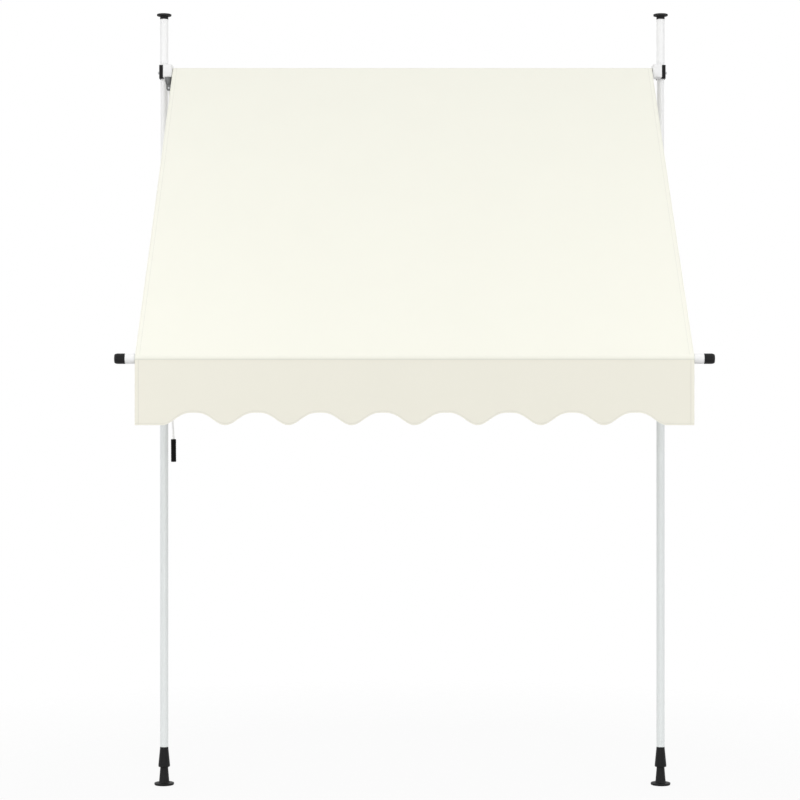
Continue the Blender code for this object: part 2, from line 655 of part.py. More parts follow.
def build_bearing_side():
    """Bearing housing and its flanged bush at the right post."""
    body = housing_body("bearing_housing", 1)
    bush = PIN_BORE + BUSH_WALL
    hole_depth = BUSH_DEPTH + PIN_END + SIDE_GAP
    hole = rod("bearing_hole", bush + SEAT_GAP, -CUT_PAST, hole_depth, BLACK,
               at(HOUSING_X, -ROLLER_FORWARD, ROLLER_Z, "X"))
    joined(body, hole, "DIFFERENCE")
    sleeve = pipe("bearing_sleeve", bush, PIN_BORE, -JOIN_DEPTH, BUSH_DEPTH, GREY,
                  at(HOUSING_X - SEAT_GAP, -ROLLER_FORWARD, ROLLER_Z, "X"), 16)
    build_cover("bearing_bush", 1, sleeve)


def build_roller():
    """Roller tube with its plugs, and the turns of fabric that stay on it."""
    place = at(0, -ROLLER_FORWARD, ROLLER_Z, "X")
    inside = ROLLER_RADIUS - ROLLER_WALL
    roll_half = FABRIC_HALF - RUNNING_GAP
    pipe("roller_tube", ROLLER_RADIUS, inside, -FABRIC_HALF, FABRIC_HALF, STEEL, place)
    pipe("fabric_roll", ROLL_RADIUS, ROLLER_RADIUS + SEAT_GAP, -roll_half, roll_half, CANVAS, place)
    face = FABRIC_HALF + SEAT_GAP
    ends = {
        "drive": (-1, POST_X - CRANK_OFFSET + WHEEL_WIDTH / 2 + PIN_END),
        "idle": (1, HOUSING_X + BUSH_DEPTH + PIN_END),
    }
    for name, (sign, tip) in ends.items():
        turned(f"roller_{name}_plug", [
            (0, face - PLUG_LENGTH), (inside - SEAT_GAP, face - PLUG_LENGTH), (inside - SEAT_GAP, face),
            (ROLLER_RADIUS, face), (ROLLER_RADIUS, face + ROLLER_FLANGE), (PIN_RADIUS, face + ROLLER_FLANGE),
            (PIN_RADIUS, tip), (0, tip),
        ], NYLON, at(0, -ROLLER_FORWARD, ROLLER_Z, outward(sign)), 16)


def build_crank():
    """Rod whose tongue turns on the yoke's pin, a slanted throw and two grips that spin on it."""
    frame = worm_frame() @ Matrix.Translation((0, 0, -YOKE_DROP))
    shaft_top = -TONGUE_LENGTH
    corner = Vector((0, 0, shaft_top - CRANK_SHAFT))
    throw = Matrix.Rotation(THROW_TURN, 4, "Z") @ Vector((0, -CRANK_THROW, -CRANK_THROW_DROP))
    slope = throw.normalized()
    elbow = corner + throw
    down = Vector((0, 0, -1))
    end = elbow + down * CRANK_HANDLE
    third = CRANK_BEND / 3
    lower = [corner - down * CRANK_BEND, corner + (slope - down) * third, corner + slope * CRANK_BEND,
             elbow - slope * CRANK_BEND, elbow + (down - slope) * third, elbow + down * CRANK_BEND, end]
    path = [((0, 0, -KNUCKLE_PIN_RADIUS - JOIN_DEPTH), TONGUE_NECK),
            ((0, 0, shaft_top + TONGUE_TAPER), TONGUE_NECK), ((0, 0, shaft_top), CRANK_RADIUS)]
    path += [(tuple(point), CRANK_RADIUS) for point in lower]
    rod_body = swept("crank_rod", path, WHITE, frame)
    tongue = YOKE_SLOT / 2 - RUNNING_GAP
    pin_place = frame @ at(0, 0, 0, "-Y")
    joined(rod_body, rod("tongue", TONGUE_RADIUS, -tongue, tongue, WHITE, pin_place), "UNION")
    joined(rod_body, rod("tongue_bore", KNUCKLE_PIN_RADIUS + RUNNING_GAP, -CUT_PAST, CUT_PAST, WHITE, pin_place,
                         12), "DIFFERENCE")
    upper_end = corner - down * (CRANK_BEND + GRIP_STAND)
    lower_end = end + down * (GRIP_END + SEAT_GAP)
    build_grip("upper_grip", frame @ Matrix.Translation(upper_end), UPPER_GRIP_LENGTH)
    build_grip("lower_grip", frame @ Matrix.Translation(lower_end), LOWER_GRIP_LENGTH, GRIP_END)


def build_grip(name, place, length, closed_end=0):
    """Black handle that spins on the rod. closed_end is how thick its bottom is, or 0 for a through bore."""
    bore = CRANK_RADIUS + RUNNING_GAP
    outline = [(GRIP_RADIUS - GRIP_EASE, 0), (GRIP_RADIUS, GRIP_EASE), (GRIP_RADIUS, length - GRIP_EASE),
               (GRIP_RADIUS - GRIP_EASE, length), (bore, length)]
    if closed_end:
        outline = [(0, 0)] + outline + [(bore, closed_end), (0, closed_end)]
    else:
        outline.append((bore, 0))
    turned(name, outline, BLACK, place, 16)


def build_arm_clamp(side, sign):
    """Split block on the upper tube with a fork that holds the arm's pivot."""
    bore = UPPER_TUBE_RADIUS + SEAT_GAP
    wall = bore + ARM_CLAMP_WALL
    place = at(sign * POST_X, 0, 0)
    outer_face = -ARM_OFFSET + ARM_RADIUS + SEAT_GAP
    inner_face = -ARM_OFFSET - ARM_RADIUS - SEAT_GAP
    tip = -PIVOT_FORWARD - KNUCKLE_RADIUS
    root = -PIVOT_FORWARD + KNUCKLE_RADIUS + FORK_ROOM
    inner_side = inner_face - PRONG_WIDTH
    outer_side = outer_face + PRONG_WIDTH
    outline = [(wall, ARM_CLAMP_BACK), (-wall, ARM_CLAMP_BACK), (-wall, 0), (inner_side, -BRACE_INNER),
               (inner_side, tip), (inner_face, tip), (inner_face, root), (outer_face, root),
               (outer_face, tip), (outer_side, tip), (outer_side, -BRACE_OUTER), (wall, -ARM_CLAMP_FRONT)]
    high = ARM_CLAMP_BASE + ARM_CLAMP_HEIGHT
    clamp = extruded(f"{side}_arm_clamp", mirrored(outline, sign), ARM_CLAMP_BASE, high, BLACK, place)
    joined(clamp, rod(f"{side}_arm_clamp_bore", bore, ARM_CLAMP_BASE - CUT_PAST, high + CUT_PAST, BLACK,
                      place, 20), "DIFFERENCE")
    split_ears(clamp, f"{side}_arm_clamp", sign, ARM_CLAMP_BACK, bore, ARM_CLAMP_BASE, high)
    grip = ARM_RADIUS + SEAT_GAP + PRONG_WIDTH
    pivot = at(sign * ARM_X, -PIVOT_FORWARD, PIVOT_Z, inward(sign))
    past = grip + CUT_PAST
    joined(clamp, rod(f"{side}_fork_hole", PIVOT_RADIUS + SEAT_GAP, -past, past, BLACK, pivot), "DIFFERENCE")
    hex_bolt(f"{side}_pivot_bolt", 2 * grip + SEAT_GAP, pivot @ Matrix.Translation((0, 0, -grip - SEAT_GAP)),
             PIVOT_RADIUS, PIVOT_HEAD_RADIUS)


def build_arm(side, sign):
    """Arm tube with its knuckle at the post and its ring round the front bar."""
    pivot = at(sign * ARM_X, -PIVOT_FORWARD, PIVOT_Z)
    nose = arc((0, 0), KNUCKLE_RADIUS, radians(-60), radians(60), 6)
    outline = [(-KNUCKLE_LENGTH, -ARM_RADIUS), (-KNUCKLE_RADIUS, -KNUCKLE_RADIUS)] + nose
    outline += [(-KNUCKLE_RADIUS, KNUCKLE_RADIUS), (-KNUCKLE_LENGTH, ARM_RADIUS)]
    knuckle = extruded(f"{side}_arm_knuckle", outline, -ARM_RADIUS, ARM_RADIUS, BLACK, pivot @ ACROSS)
    joined(knuckle, rod(f"{side}_knuckle_hole", PIVOT_RADIUS + RUNNING_GAP, -ARM_RADIUS - CUT_PAST,
                        ARM_RADIUS + CUT_PAST, BLACK, pivot @ at(0, 0, 0, "X")), "DIFFERENCE")
    ring_back = ARM_LENGTH - RING_RADIUS
    pipe(f"{side}_arm_tube", ARM_RADIUS, ARM_RADIUS - ARM_WALL, KNUCKLE_LENGTH + SEAT_GAP,
         ring_back - RING_STUB - SEAT_GAP, WHITE, pivot @ at(0, 0, 0, "-Y"))
    bore = BAR_RADIUS + RUNNING_GAP
    half = RING_WIDTH / 2
    ring = turned(f"{side}_arm_ring", [
        (RING_RADIUS - CHAMFER, -half), (RING_RADIUS, CHAMFER - half), (RING_RADIUS, half - CHAMFER),
        (RING_RADIUS - CHAMFER, half), (bore, half), (bore, -half),
    ], WHITE_PLASTIC, at(sign * RING_X, BAR_Y, PIVOT_Z, "X"))
    boss = rod(f"{side}_ring_boss", ARM_RADIUS, ring_back - RING_STUB, ring_back + CHAMFER, WHITE_PLASTIC,
               pivot @ at(0, 0, 0, "-Y"))
    joined(ring, boss, "UNION")


def build_front_bar():
    """Front bar tube with an end cap outside each arm ring."""
    inside = BAR_RADIUS - BAR_WALL
    pipe("front_bar", BAR_RADIUS, inside, -CAP_X, CAP_X, WHITE, at(0, BAR_Y, PIVOT_Z, "X"))
    face = CAP_X + SEAT_GAP
    end = face + CAP_LENGTH
    for side, sign in SIDES.items():
        turned(f"{side}_bar_cap", [
            (0, face - CAP_PLUG), (inside - SEAT_GAP, face - CAP_PLUG), (inside - SEAT_GAP, face),
            (CAP_RADIUS, face), (CAP_RADIUS, end - CAP_TAPER_LENGTH), (CAP_RADIUS - CAP_TAPER, end - CAP_EDGE),
            (CAP_RADIUS - CAP_TAPER - CAP_EDGE, end), (0, end),
        ], BLACK, at(0, BAR_Y, PIVOT_Z, outward(sign)))


def scallop_drop(x):
    """How far the valance hangs below its highest points at this place along the bar."""
    if abs(x) > LAST_LOW:
        return SCALLOP_DEPTH
    return SCALLOP_DEPTH * (0.5 + 0.5 * cos(tau * x / SCALLOP_PERIOD)) ** SCALLOP_POWER


def build_valance():
    """Pocket round the bar and the scalloped sheet that hangs in front of it, sewn as one."""
    inside = POCKET_RADIUS - CLOTH_THICKNESS
    pocket = pipe("valance", POCKET_RADIUS, inside, -FABRIC_HALF, FABRIC_HALF, CANVAS,
                  at(0, BAR_Y, PIVOT_Z, "X"))
    top = PIVOT_Z + VALANCE_SEAM
    high = PIVOT_Z - VALANCE_HIGH
    steps = SCALLOPS_PER_SIDE * SCALLOP_STEPS
    edge = [-FABRIC_HALF] + [LAST_LOW * i / steps for i in range(-steps, steps + 1)] + [FABRIC_HALF]
    outline = [(x, high - scallop_drop(x)) for x in edge] + [(FABRIC_HALF, top), (-FABRIC_HALF, top)]
    sheet = extruded("valance_sheet", outline, 0, CLOTH_THICKNESS, CANVAS,
                     at(0, BAR_Y - POCKET_RADIUS + CLOTH_THICKNESS / 2, 0) @ UPRIGHT)
    joined(pocket, sheet, "UNION")


def build_canopy():
    """Flat sheet from the top of the fabric roll to the front bar."""
    roll = Vector((-ROLLER_FORWARD, ROLLER_Z))
    bar = Vector((BAR_Y, PIVOT_Z))
    along = (bar - roll).normalized()
    up = Vector((along.y, -along.x))
    start = roll + up * (ROLL_RADIUS + SEAT_GAP)
    end = bar + up * (POCKET_RADIUS + SEAT_GAP)
    thick = up * CLOTH_THICKNESS
    outline = [tuple(point) for point in (start, start + thick, end + thick, end)]
    extruded("canopy", outline, -FABRIC_HALF, FABRIC_HALF, CANVAS, ACROSS)


def joint_axis(name, place, carrier=None):
    """An empty on a joint's axis, which the pieces that move there hang from."""
    axis = bpy.data.objects.new(name, None)
    axis.matrix_world = place
    bpy.context.scene.collection.objects.link(axis)
    return carried(axis, carrier) if carrier else axis


def hang(carrier, *names):
    """Parents the named pieces to an empty."""
    for name in names:
        carried(bpy.data.objects[name], carrier)


def assemble():
    """Parents each moving piece to an empty on its joint's axis, and each empty to its carrier."""
    head = joint_axis("height_adjust", at(0, 0, LOWER_TUBE_TOP))
    hang(head, "gear_housing", "gear_neck", "gear_cover", "bearing_housing", "bearing_bush", "canopy")
    roller = joint_axis("roller_turn", at(0, -ROLLER_FORWARD, ROLLER_Z, "-X"), head)
    hang(roller, "roller_tube", "fabric_roll", "roller_drive_plug", "roller_idle_plug", "worm_wheel")
    worm = joint_axis("crank_turn", worm_frame(), head)
    hang(worm, "worm_shaft", "knuckle_pin")
    crank = joint_axis("crank_swing", bpy.data.objects["crank_rod"].matrix_world, worm)
    hang(crank, "crank_rod", "upper_grip", "lower_grip")
    arms = {}
    for side, sign in SIDES.items():
        hang(head, *(f"{side}_{piece}" for piece in (
            "upper_tube", "top_sleeve", "top_plug", "top_pad", "head_clamp", "head_screw", "arm_clamp",
            "arm_clamp_bolt", "pivot_bolt")))
        nut = joint_axis(f"{side}_nut_turn", at(sign * POST_X, 0, NUT_BASE))
        hang(nut, f"{side}_jack_nut")
        foot = joint_axis(f"{side}_foot_slide", at(sign * POST_X, 0, FOOT_TOP))
        hang(foot, f"{side}_foot_sole", f"{side}_foot_base", f"{side}_foot_spindle")
        arms[side] = joint_axis(f"{side}_arm_swing", at(sign * ARM_X, -PIVOT_FORWARD, PIVOT_Z, "-X"), head)
        hang(arms[side], f"{side}_arm_knuckle", f"{side}_arm_tube", f"{side}_arm_ring")
    bar = joint_axis("bar_level", at(-RING_X, BAR_Y, PIVOT_Z, "X"), arms["left"])
    hang(bar, "front_bar", "left_bar_cap", "right_bar_cap", "valance")


for side_name, side_sign in SIDES.items():
    build_foot(side_name, side_sign)
    build_post(side_name, side_sign)
    build_collar(side_name, side_sign)
    build_head_clamp(side_name, side_sign)
    build_arm_clamp(side_name, side_sign)
    build_arm(side_name, side_sign)
build_gear_side()
build_bearing_side()
build_roller()
build_crank()
build_front_bar()
build_valance()
build_canopy()
assemble()
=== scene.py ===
"""Looks of a canvas awning: its stage, finishes, cloth and small detail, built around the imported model."""

import json
from math import ceil, cos, pi, radians, sin, tau

import bmesh
import bpy
from bpy.props import FloatProperty, FloatVectorProperty, IntProperty, PointerProperty
from mathutils import Matrix, Vector, noise


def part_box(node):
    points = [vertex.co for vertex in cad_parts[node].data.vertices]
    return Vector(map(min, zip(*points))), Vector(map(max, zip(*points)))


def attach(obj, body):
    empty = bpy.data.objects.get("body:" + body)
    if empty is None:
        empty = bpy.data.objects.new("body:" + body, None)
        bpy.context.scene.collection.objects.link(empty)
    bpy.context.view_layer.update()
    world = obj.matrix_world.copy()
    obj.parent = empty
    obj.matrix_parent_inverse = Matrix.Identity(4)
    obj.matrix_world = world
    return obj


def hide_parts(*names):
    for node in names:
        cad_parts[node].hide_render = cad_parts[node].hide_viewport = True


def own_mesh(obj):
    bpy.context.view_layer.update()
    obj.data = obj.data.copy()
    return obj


bl_info = {
    "name": "Canvas awning looks",
    "version": (1, 0, 0),
    "blender": (4, 5, 0),
    "location": "3D View > Sidebar > Awning",
    "description": "Finishes, cloth and stage of a clamp awning",
    "category": "Object",
}

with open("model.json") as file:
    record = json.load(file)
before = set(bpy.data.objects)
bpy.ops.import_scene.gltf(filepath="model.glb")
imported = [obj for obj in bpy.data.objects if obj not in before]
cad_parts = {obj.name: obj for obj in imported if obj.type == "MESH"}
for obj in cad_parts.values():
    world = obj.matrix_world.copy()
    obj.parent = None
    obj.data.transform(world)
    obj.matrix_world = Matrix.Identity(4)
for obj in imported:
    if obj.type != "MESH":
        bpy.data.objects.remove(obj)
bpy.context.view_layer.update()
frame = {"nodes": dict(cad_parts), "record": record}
SLOT_OF = {row["node"]: row["material_slot"] for row in frame["record"]["subparts"]}
BODY_OF = {node: body for body, nodes in frame["record"]["behaviour"]["bodies"].items() for node in nodes}
JOINTS = {joint["name"]: joint for joint in frame["record"]["behaviour"]["joints"]}
SIDES = ("left", "right")


def middle(node):
    """The centre of a node's box."""
    low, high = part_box(node)
    return (Vector(low) + Vector(high)) / 2


def half(node):
    """Half of a node's size each way."""
    low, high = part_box(node)
    return (Vector(high) - Vector(low)) / 2


ROLLER = middle("roller_tube")
ROLLER_RADIUS = half("roller_tube").z
ROLL_RADIUS = half("fabric_roll").z
BAR = middle("front_bar")
BAR_RADIUS = half("front_bar").z
CLOTH_HALF = half("canopy").x
VALANCE_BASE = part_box("valance")[0][2]

# Air between one layer and the next
SEAT_GAP = 0.0003

# Walls of the tubes
TUBE_WALL = 0.0012
BAR_WALL = 0.0013

# Bore of both grips, and the closed end of the lower one
GRIP_BORE = 0.0045
GRIP_END = 0.006

# Thread of the foot spindles
SPINDLE_LEAD = 0.004
THREAD_DEPTH = 0.0009

# Angles round the bar at which the pocket leaves the canopy and is sewn down again
POCKET_START = radians(134.8)
POCKET_SEAM = radians(197)

# How far below the bar's axis the valance starts
SEAM_DROP = 0.0050

# Share of a finish's colour in its darker patches
YARN_SHADE = 0.955
# The stitch thread's colour, which the painted shade in the folds beside the stitches also darkens toward
THREAD_AND_CREASE_SHADE = 0.80
COAT_SHADE = 0.955
PLASTIC_SHADE = 0.86
METAL_SHADE = 0.78

LIGHT_DUST = (0.55, 0.53, 0.49)
DARK_DUST = (0.42, 0.41, 0.38)

# Finish of each material slot
SKINS = {
    "white_coat": "powder coat", "white_plastic": "housing plastic", "black_plastic": "black moulding",
    "rubber": "foot rubber", "zinc_steel": "zinc plate", "grey_casting": "grey die casting",
    "nylon": "natural nylon",
}

# Nodes whose finish differs from that of their slot. The upper tubes, top sleeves and crank rod take a
# lighter copy of the powder coat, as painted light.
FINISH_OF = {
    "upper_grip": "grip plastic", "lower_grip": "grip plastic", "crank_rod": "powder coat painted lit",
    "left_upper_tube": "powder coat painted lit", "right_upper_tube": "powder coat painted lit",
    "left_top_sleeve": "powder coat painted lit", "right_top_sleeve": "powder coat painted lit",
}

# Each lamp's place, the point it looks at, its side, its power and the share of that power it has
SOFTBOXES = {
    "left softbox": ((-3.4, -3.2, 2.7), (-0.7, -0.2, 2.3), 2.4, "side_power", 1.0),
    "right softbox": ((3.4, -3.2, 2.7), (0.7, -0.2, 2.3), 2.4, "side_power", 0.9),
    "high softbox": ((0.0, -2.2, 5.6), (0, -0.6, 2.2), 3.4, "high_power", 1.0),
    "front softbox": ((0.0, -8.5, 1.0), (0, 0, 1.8), 3.0, "level_power", 1.0),
}

# The floor's two tones, the share of it that shows as pure white, and where it fades out along its radius
FLOOR_TONES = ((0.78, 0.78, 0.78), (0.75, 0.75, 0.75))
FLOOR_LIFT = 0.90
FLOOR_FADE = (0.45, 0.95)

# Height either side of the horizon over which the world's light changes
HORIZON_BLEND = 0.2


class AwningCloth(bpy.types.PropertyGroup):
    """Sizes and colour of the fabric."""

    colour: FloatVectorProperty(name="Canvas", description="Colour of the yarn", subtype="COLOR", size=3,
                                default=(0.93, 0.925, 0.83))
    # Painted shade on the valance: the share of the yarn's colour that the hanging sheet keeps, so it shows
    # darker than the canopy's canvas
    valance_painted_shade: FloatVectorProperty(name="Valance", description="Share of the yarn's colour on the valance",
                                size=3, default=(0.985, 0.968, 0.950))
    thickness: FloatProperty(name="Thickness", description="One layer of cloth", default=0.0008,
                             unit="LENGTH")
    thread: FloatProperty(name="Thread", description="Distance from yarn to yarn", default=0.0011,
                          unit="LENGTH")
    hem: FloatProperty(name="Hem", description="Width of the side hems", default=0.018, unit="LENGTH")
    stitch: FloatProperty(name="Stitch", description="Length of one stitch", default=0.0036, unit="LENGTH")
    sag: FloatProperty(name="Sag", description="How far the canopy hangs at its middle", default=0.003,
                       unit="LENGTH")
    wave: FloatProperty(name="Wave", description="Depth of the valance's waves", default=0.0030,
                        unit="LENGTH")
    scallop: FloatProperty(name="Scallop", description="Distance between two lobes", default=0.21,
                           unit="LENGTH")
    scallop_depth: FloatProperty(name="Lobe", description="Depth of a lobe", default=0.0416, unit="LENGTH")
    lobes: IntProperty(name="Lobes", description="Whole lobes on each side of the middle one", default=4)


class AwningFinish(bpy.types.PropertyGroup):
    """Colours of the hard pieces."""

    coat: FloatVectorProperty(name="Coat", description="Powder coat on the outer tubes", subtype="COLOR",
                              size=3, default=(0.83, 0.86, 0.86))
    # A lighter copy of the powder coat, as painted light on the upper tubes, top sleeves and crank rod
    bright: FloatVectorProperty(name="Bright coat", description="Powder coat on the inner tubes",
                                subtype="COLOR", size=3, default=(0.98, 0.98, 0.98))
    white: FloatVectorProperty(name="White plastic", description="Housings and rings", subtype="COLOR",
                               size=3, default=(0.98, 0.98, 0.98))
    black: FloatVectorProperty(name="Black plastic", description="Clamps, feet and caps", subtype="COLOR",
                               size=3, default=(0.006, 0.006, 0.0065))
    grip: FloatVectorProperty(name="Grips", description="Soft plastic of the grips", subtype="COLOR", size=3,
                              default=(0.003, 0.003, 0.003))
    casting: FloatVectorProperty(name="Casting", description="Gear neck and yoke", subtype="COLOR", size=3,
                                 default=(0.18, 0.185, 0.185))
    steel: FloatVectorProperty(name="Zinc", description="Screws and spindles", subtype="COLOR", size=3,
                               default=(0.56, 0.57, 0.58))
    nylon: FloatVectorProperty(name="Nylon", description="Plugs and worm wheel", subtype="COLOR", size=3,
                               default=(0.74, 0.71, 0.62))
    edge: FloatProperty(name="Edge", description="Rounding of moulded edges", default=0.0006, unit="LENGTH")


class AwningStage(bpy.types.PropertyGroup):
    """Floor, lights and camera."""

    floor: FloatProperty(name="Floor", description="Radius of the pale floor", default=3.2, unit="LENGTH")
    sky: FloatProperty(name="Sky", description="Light from above the horizon", default=0.815)
    ground: FloatProperty(name="Ground", description="Light from below the horizon", default=0.40)
    side_power: FloatProperty(name="Side lights", description="Power of each soft box", default=33,
                              unit="POWER")
    high_power: FloatProperty(name="High light", description="Power of the soft box above", default=9,
                              unit="POWER")
    level_power: FloatProperty(name="Level light", description="Power of the soft box in front", default=75,
                               unit="POWER")
    focal: FloatProperty(name="Lens", description="Focal length on a 36 mm frame", default=92.16)
    camera: FloatVectorProperty(name="Camera", description="Place of the camera", size=3,
                                subtype="TRANSLATION", default=(-0.0485, -8.03, 1.508))


def add_node(tree, kind, inputs=None, **settings):
    """One shader node, with its sockets set or linked."""
    made = tree.nodes.new(kind)
    for key, value in settings.items():
        setattr(made, key, value)
    for key, value in (inputs or {}).items():
        if isinstance(value, bpy.types.NodeSocket):
            tree.links.new(value, made.inputs[key])
        else:
            made.inputs[key].default_value = value
    return made


def maths(tree, operation, *values):
    """The result of one Math node."""
    return add_node(tree, "ShaderNodeMath", dict(enumerate(values)), operation=operation).outputs[0]


def new_group(name, inputs, outputs):
    """An empty node group with named float or vector sockets."""
    group = bpy.data.node_groups.new(name, "ShaderNodeTree")
    for kind, sockets in (("INPUT", inputs), ("OUTPUT", outputs)):
        for socket, (shape, value) in sockets.items():
            made = group.interface.new_socket(socket, in_out=kind, socket_type="NodeSocket" + shape)
            if value is not None:
                made.default_value = value
    return group, group.nodes.new("NodeGroupInput").outputs, group.nodes.new("NodeGroupOutput").inputs


def placed(tree, group, **inputs):
    """A group placed in a material."""
    made = tree.nodes.new("ShaderNodeGroup")
    made.node_tree = bpy.data.node_groups[group]
    for key, value in inputs.items():
        socket = made.inputs[key.replace("_", " ")]
        if isinstance(value, bpy.types.NodeSocket):
            tree.links.new(value, socket)
        else:
            socket.default_value = value
    return made.outputs


def build_weave_group():
    """Plain weave: warp and weft pass over each other in turn."""
    group, given, out = new_group("plain weave", {
        "Cloth": ("Vector", None), "Thread": ("Float", 0.001),
    }, {"Height": ("Float", None), "Yarn": ("Float", None)})
    scaled = add_node(group, "ShaderNodeVectorMath", {0: given["Cloth"]}, operation="SCALE")
    group.links.new(maths(group, "DIVIDE", pi, given["Thread"]), scaled.inputs["Scale"])
    parts = add_node(group, "ShaderNodeSeparateXYZ", {0: scaled.outputs[0]})
    warp = maths(group, "SINE", parts.outputs["X"])
    weft = maths(group, "SINE", parts.outputs["Y"])
    cross = maths(group, "MULTIPLY", maths(group, "COSINE", parts.outputs["X"]),
                  maths(group, "COSINE", parts.outputs["Y"]))
    heights = [maths(group, "MULTIPLY", maths(group, "ABSOLUTE", yarn),
                     maths(group, "MULTIPLY_ADD", cross, side, 0.5))
               for yarn, side in ((warp, 0.5), (weft, -0.5))]
    group.links.new(maths(group, "ADD", *heights), out["Height"])
    slub = add_node(group, "ShaderNodeTexNoise", {"Vector": scaled.outputs[0], "Scale": 0.35, "Detail": 3.0})
    group.links.new(slub.outputs["Fac"], out["Yarn"])


def build_stitch_group():
    """A line of stitches that runs along one coordinate at a set place on the other."""
    group, given, out = new_group("stitch line", {
        "Along": ("Float", 0.0), "Across": ("Float", 0.0), "Line": ("Float", 0.0),
        "Stitch": ("Float", 0.0036), "Width": ("Float", 0.0006),
    }, {"Mask": ("Float", None), "Dimple": ("Float", None)})
    away = maths(group, "ABSOLUTE", maths(group, "SUBTRACT", given["Across"], given["Line"]))
    thread_share, dimple_widths = 0.72, 6.0
    near = maths(group, "LESS_THAN", away, given["Width"])
    phase = maths(group, "FRACT", maths(group, "DIVIDE", given["Along"], given["Stitch"]))
    drawn = maths(group, "LESS_THAN", phase, thread_share)
    group.links.new(maths(group, "MULTIPLY", near, drawn), out["Mask"])
    wide = maths(group, "MULTIPLY", given["Width"], dimple_widths)
    spread = maths(group, "SUBTRACT", 1.0, maths(group, "DIVIDE", away, wide))
    group.links.new(maths(group, "MAXIMUM", spread, 0.0), out["Dimple"])


def build_patch_group():
    """Slow, cloudy variation, for soiling and uneven sheen."""
    group, given, out = new_group("uneven patches", {"Scale": ("Float", 8.0)}, {"Patch": ("Float", None)})
    where = add_node(group, "ShaderNodeTexCoord")
    cloud = add_node(group, "ShaderNodeTexNoise", {"Vector": where.outputs["Object"], "Scale": given["Scale"],
                                                   "Detail": 4.0, "Roughness": 0.6})
    group.links.new(cloud.outputs["Fac"], out["Patch"])


def build_grain_group():
    """Fine grain of a spark-eroded mould, or of powder coat, with a soft second octave."""
    group, given, out = new_group("surface grain", {"Grain": ("Float", 900.0), "Peel": ("Float", 200.0)},
                                  {"Height": ("Float", None)})
    where = add_node(group, "ShaderNodeTexCoord")
    fine = add_node(group, "ShaderNodeTexNoise", {"Vector": where.outputs["Object"], "Scale": given["Grain"],
                                                  "Detail": 2.0})
    soft = add_node(group, "ShaderNodeTexNoise", {"Vector": where.outputs["Object"], "Scale": given["Peel"],
                                                  "Detail": 1.0})
    height = maths(group, "MULTIPLY_ADD", fine.outputs["Fac"], 0.4, soft.outputs["Fac"])
    group.links.new(height, out["Height"])


def build_dust_group():
    """Thin dust where a face looks up, broken up by noise."""
    group, given, out = new_group("settled dust", {"Amount": ("Float", 0.1)}, {"Dust": ("Float", None)})
    normal = add_node(group, "ShaderNodeNewGeometry").outputs["Normal"]
    up = add_node(group, "ShaderNodeSeparateXYZ", {0: normal}).outputs["Z"]
    where = add_node(group, "ShaderNodeTexCoord")
    speck = add_node(group, "ShaderNodeTexNoise", {"Vector": where.outputs["Object"], "Scale": 60.0,
                                                   "Detail": 5.0})
    facing = maths(group, "MAXIMUM", maths(group, "MULTIPLY_ADD", up, 1.4, -0.4), 0.0)
    spotty = maths(group, "MULTIPLY", facing, speck.outputs["Fac"])
    group.links.new(maths(group, "MULTIPLY", spotty, given["Amount"]), out["Dust"])


def build_drawn_group():
    """Fine lines that run along one world axis, as on drawn or plated metal."""
    group, given, out = new_group("drawn lines", {
        "Stretch": ("Vector", (1.0, 1.0, 0.02)), "Scale": ("Float", 700.0),
    }, {"Line": ("Float", None)})
    where = add_node(group, "ShaderNodeTexCoord")
    stretched = add_node(group, "ShaderNodeVectorMath", {0: where.outputs["Object"], 1: given["Stretch"]},
                         operation="MULTIPLY")
    line = add_node(group, "ShaderNodeTexNoise", {"Vector": stretched.outputs[0], "Scale": given["Scale"],
                                                  "Detail": 3.0})
    group.links.new(line.outputs["Fac"], out["Line"])


def new_material(name, **shader):
    """A material with its Principled BSDF, whose constant values are set on its own sockets."""
    made = bpy.data.materials.new(name)
    made.use_nodes = True
    tree = made.node_tree
    principled = tree.nodes["Principled BSDF"]
    for key, value in shader.items():
        principled.inputs[key.replace("_", " ")].default_value = value
    return made, tree, principled


def bumped(tree, principled, height, strength, distance):
    """Feeds a height into the shader's normal."""
    bump = add_node(tree, "ShaderNodeBump", {"Height": height, "Strength": strength, "Distance": distance})
    tree.links.new(bump.outputs["Normal"], principled.inputs["Normal"])


def tinted(tree, principled, colour, other, mask):
    """Mixes two colours by a mask into the base colour."""
    mix = add_node(tree, "ShaderNodeMix", {"Factor": mask}, data_type="RGBA")
    for socket, value in (("A", colour), ("B", other)):
        target = [s for s in mix.inputs if s.name == socket and s.type == "RGBA"][0]
        if isinstance(value, bpy.types.NodeSocket):
            tree.links.new(value, target)
        else:
            target.default_value = (*value, 1.0)
    made = [s for s in mix.outputs if s.type == "RGBA"][0]
    tree.links.new(made, principled.inputs["Base Color"])
    return made


def roughened(tree, principled, mask, low, high):
    """Varies roughness between two values by a mask."""
    spread = add_node(tree, "ShaderNodeMapRange", {"Value": mask, "To Min": low, "To Max": high})
    tree.links.new(spread.outputs[0], principled.inputs["Roughness"])


def darker(colour, share):
    """A share of a colour."""
    return tuple(c * share for c in colour)


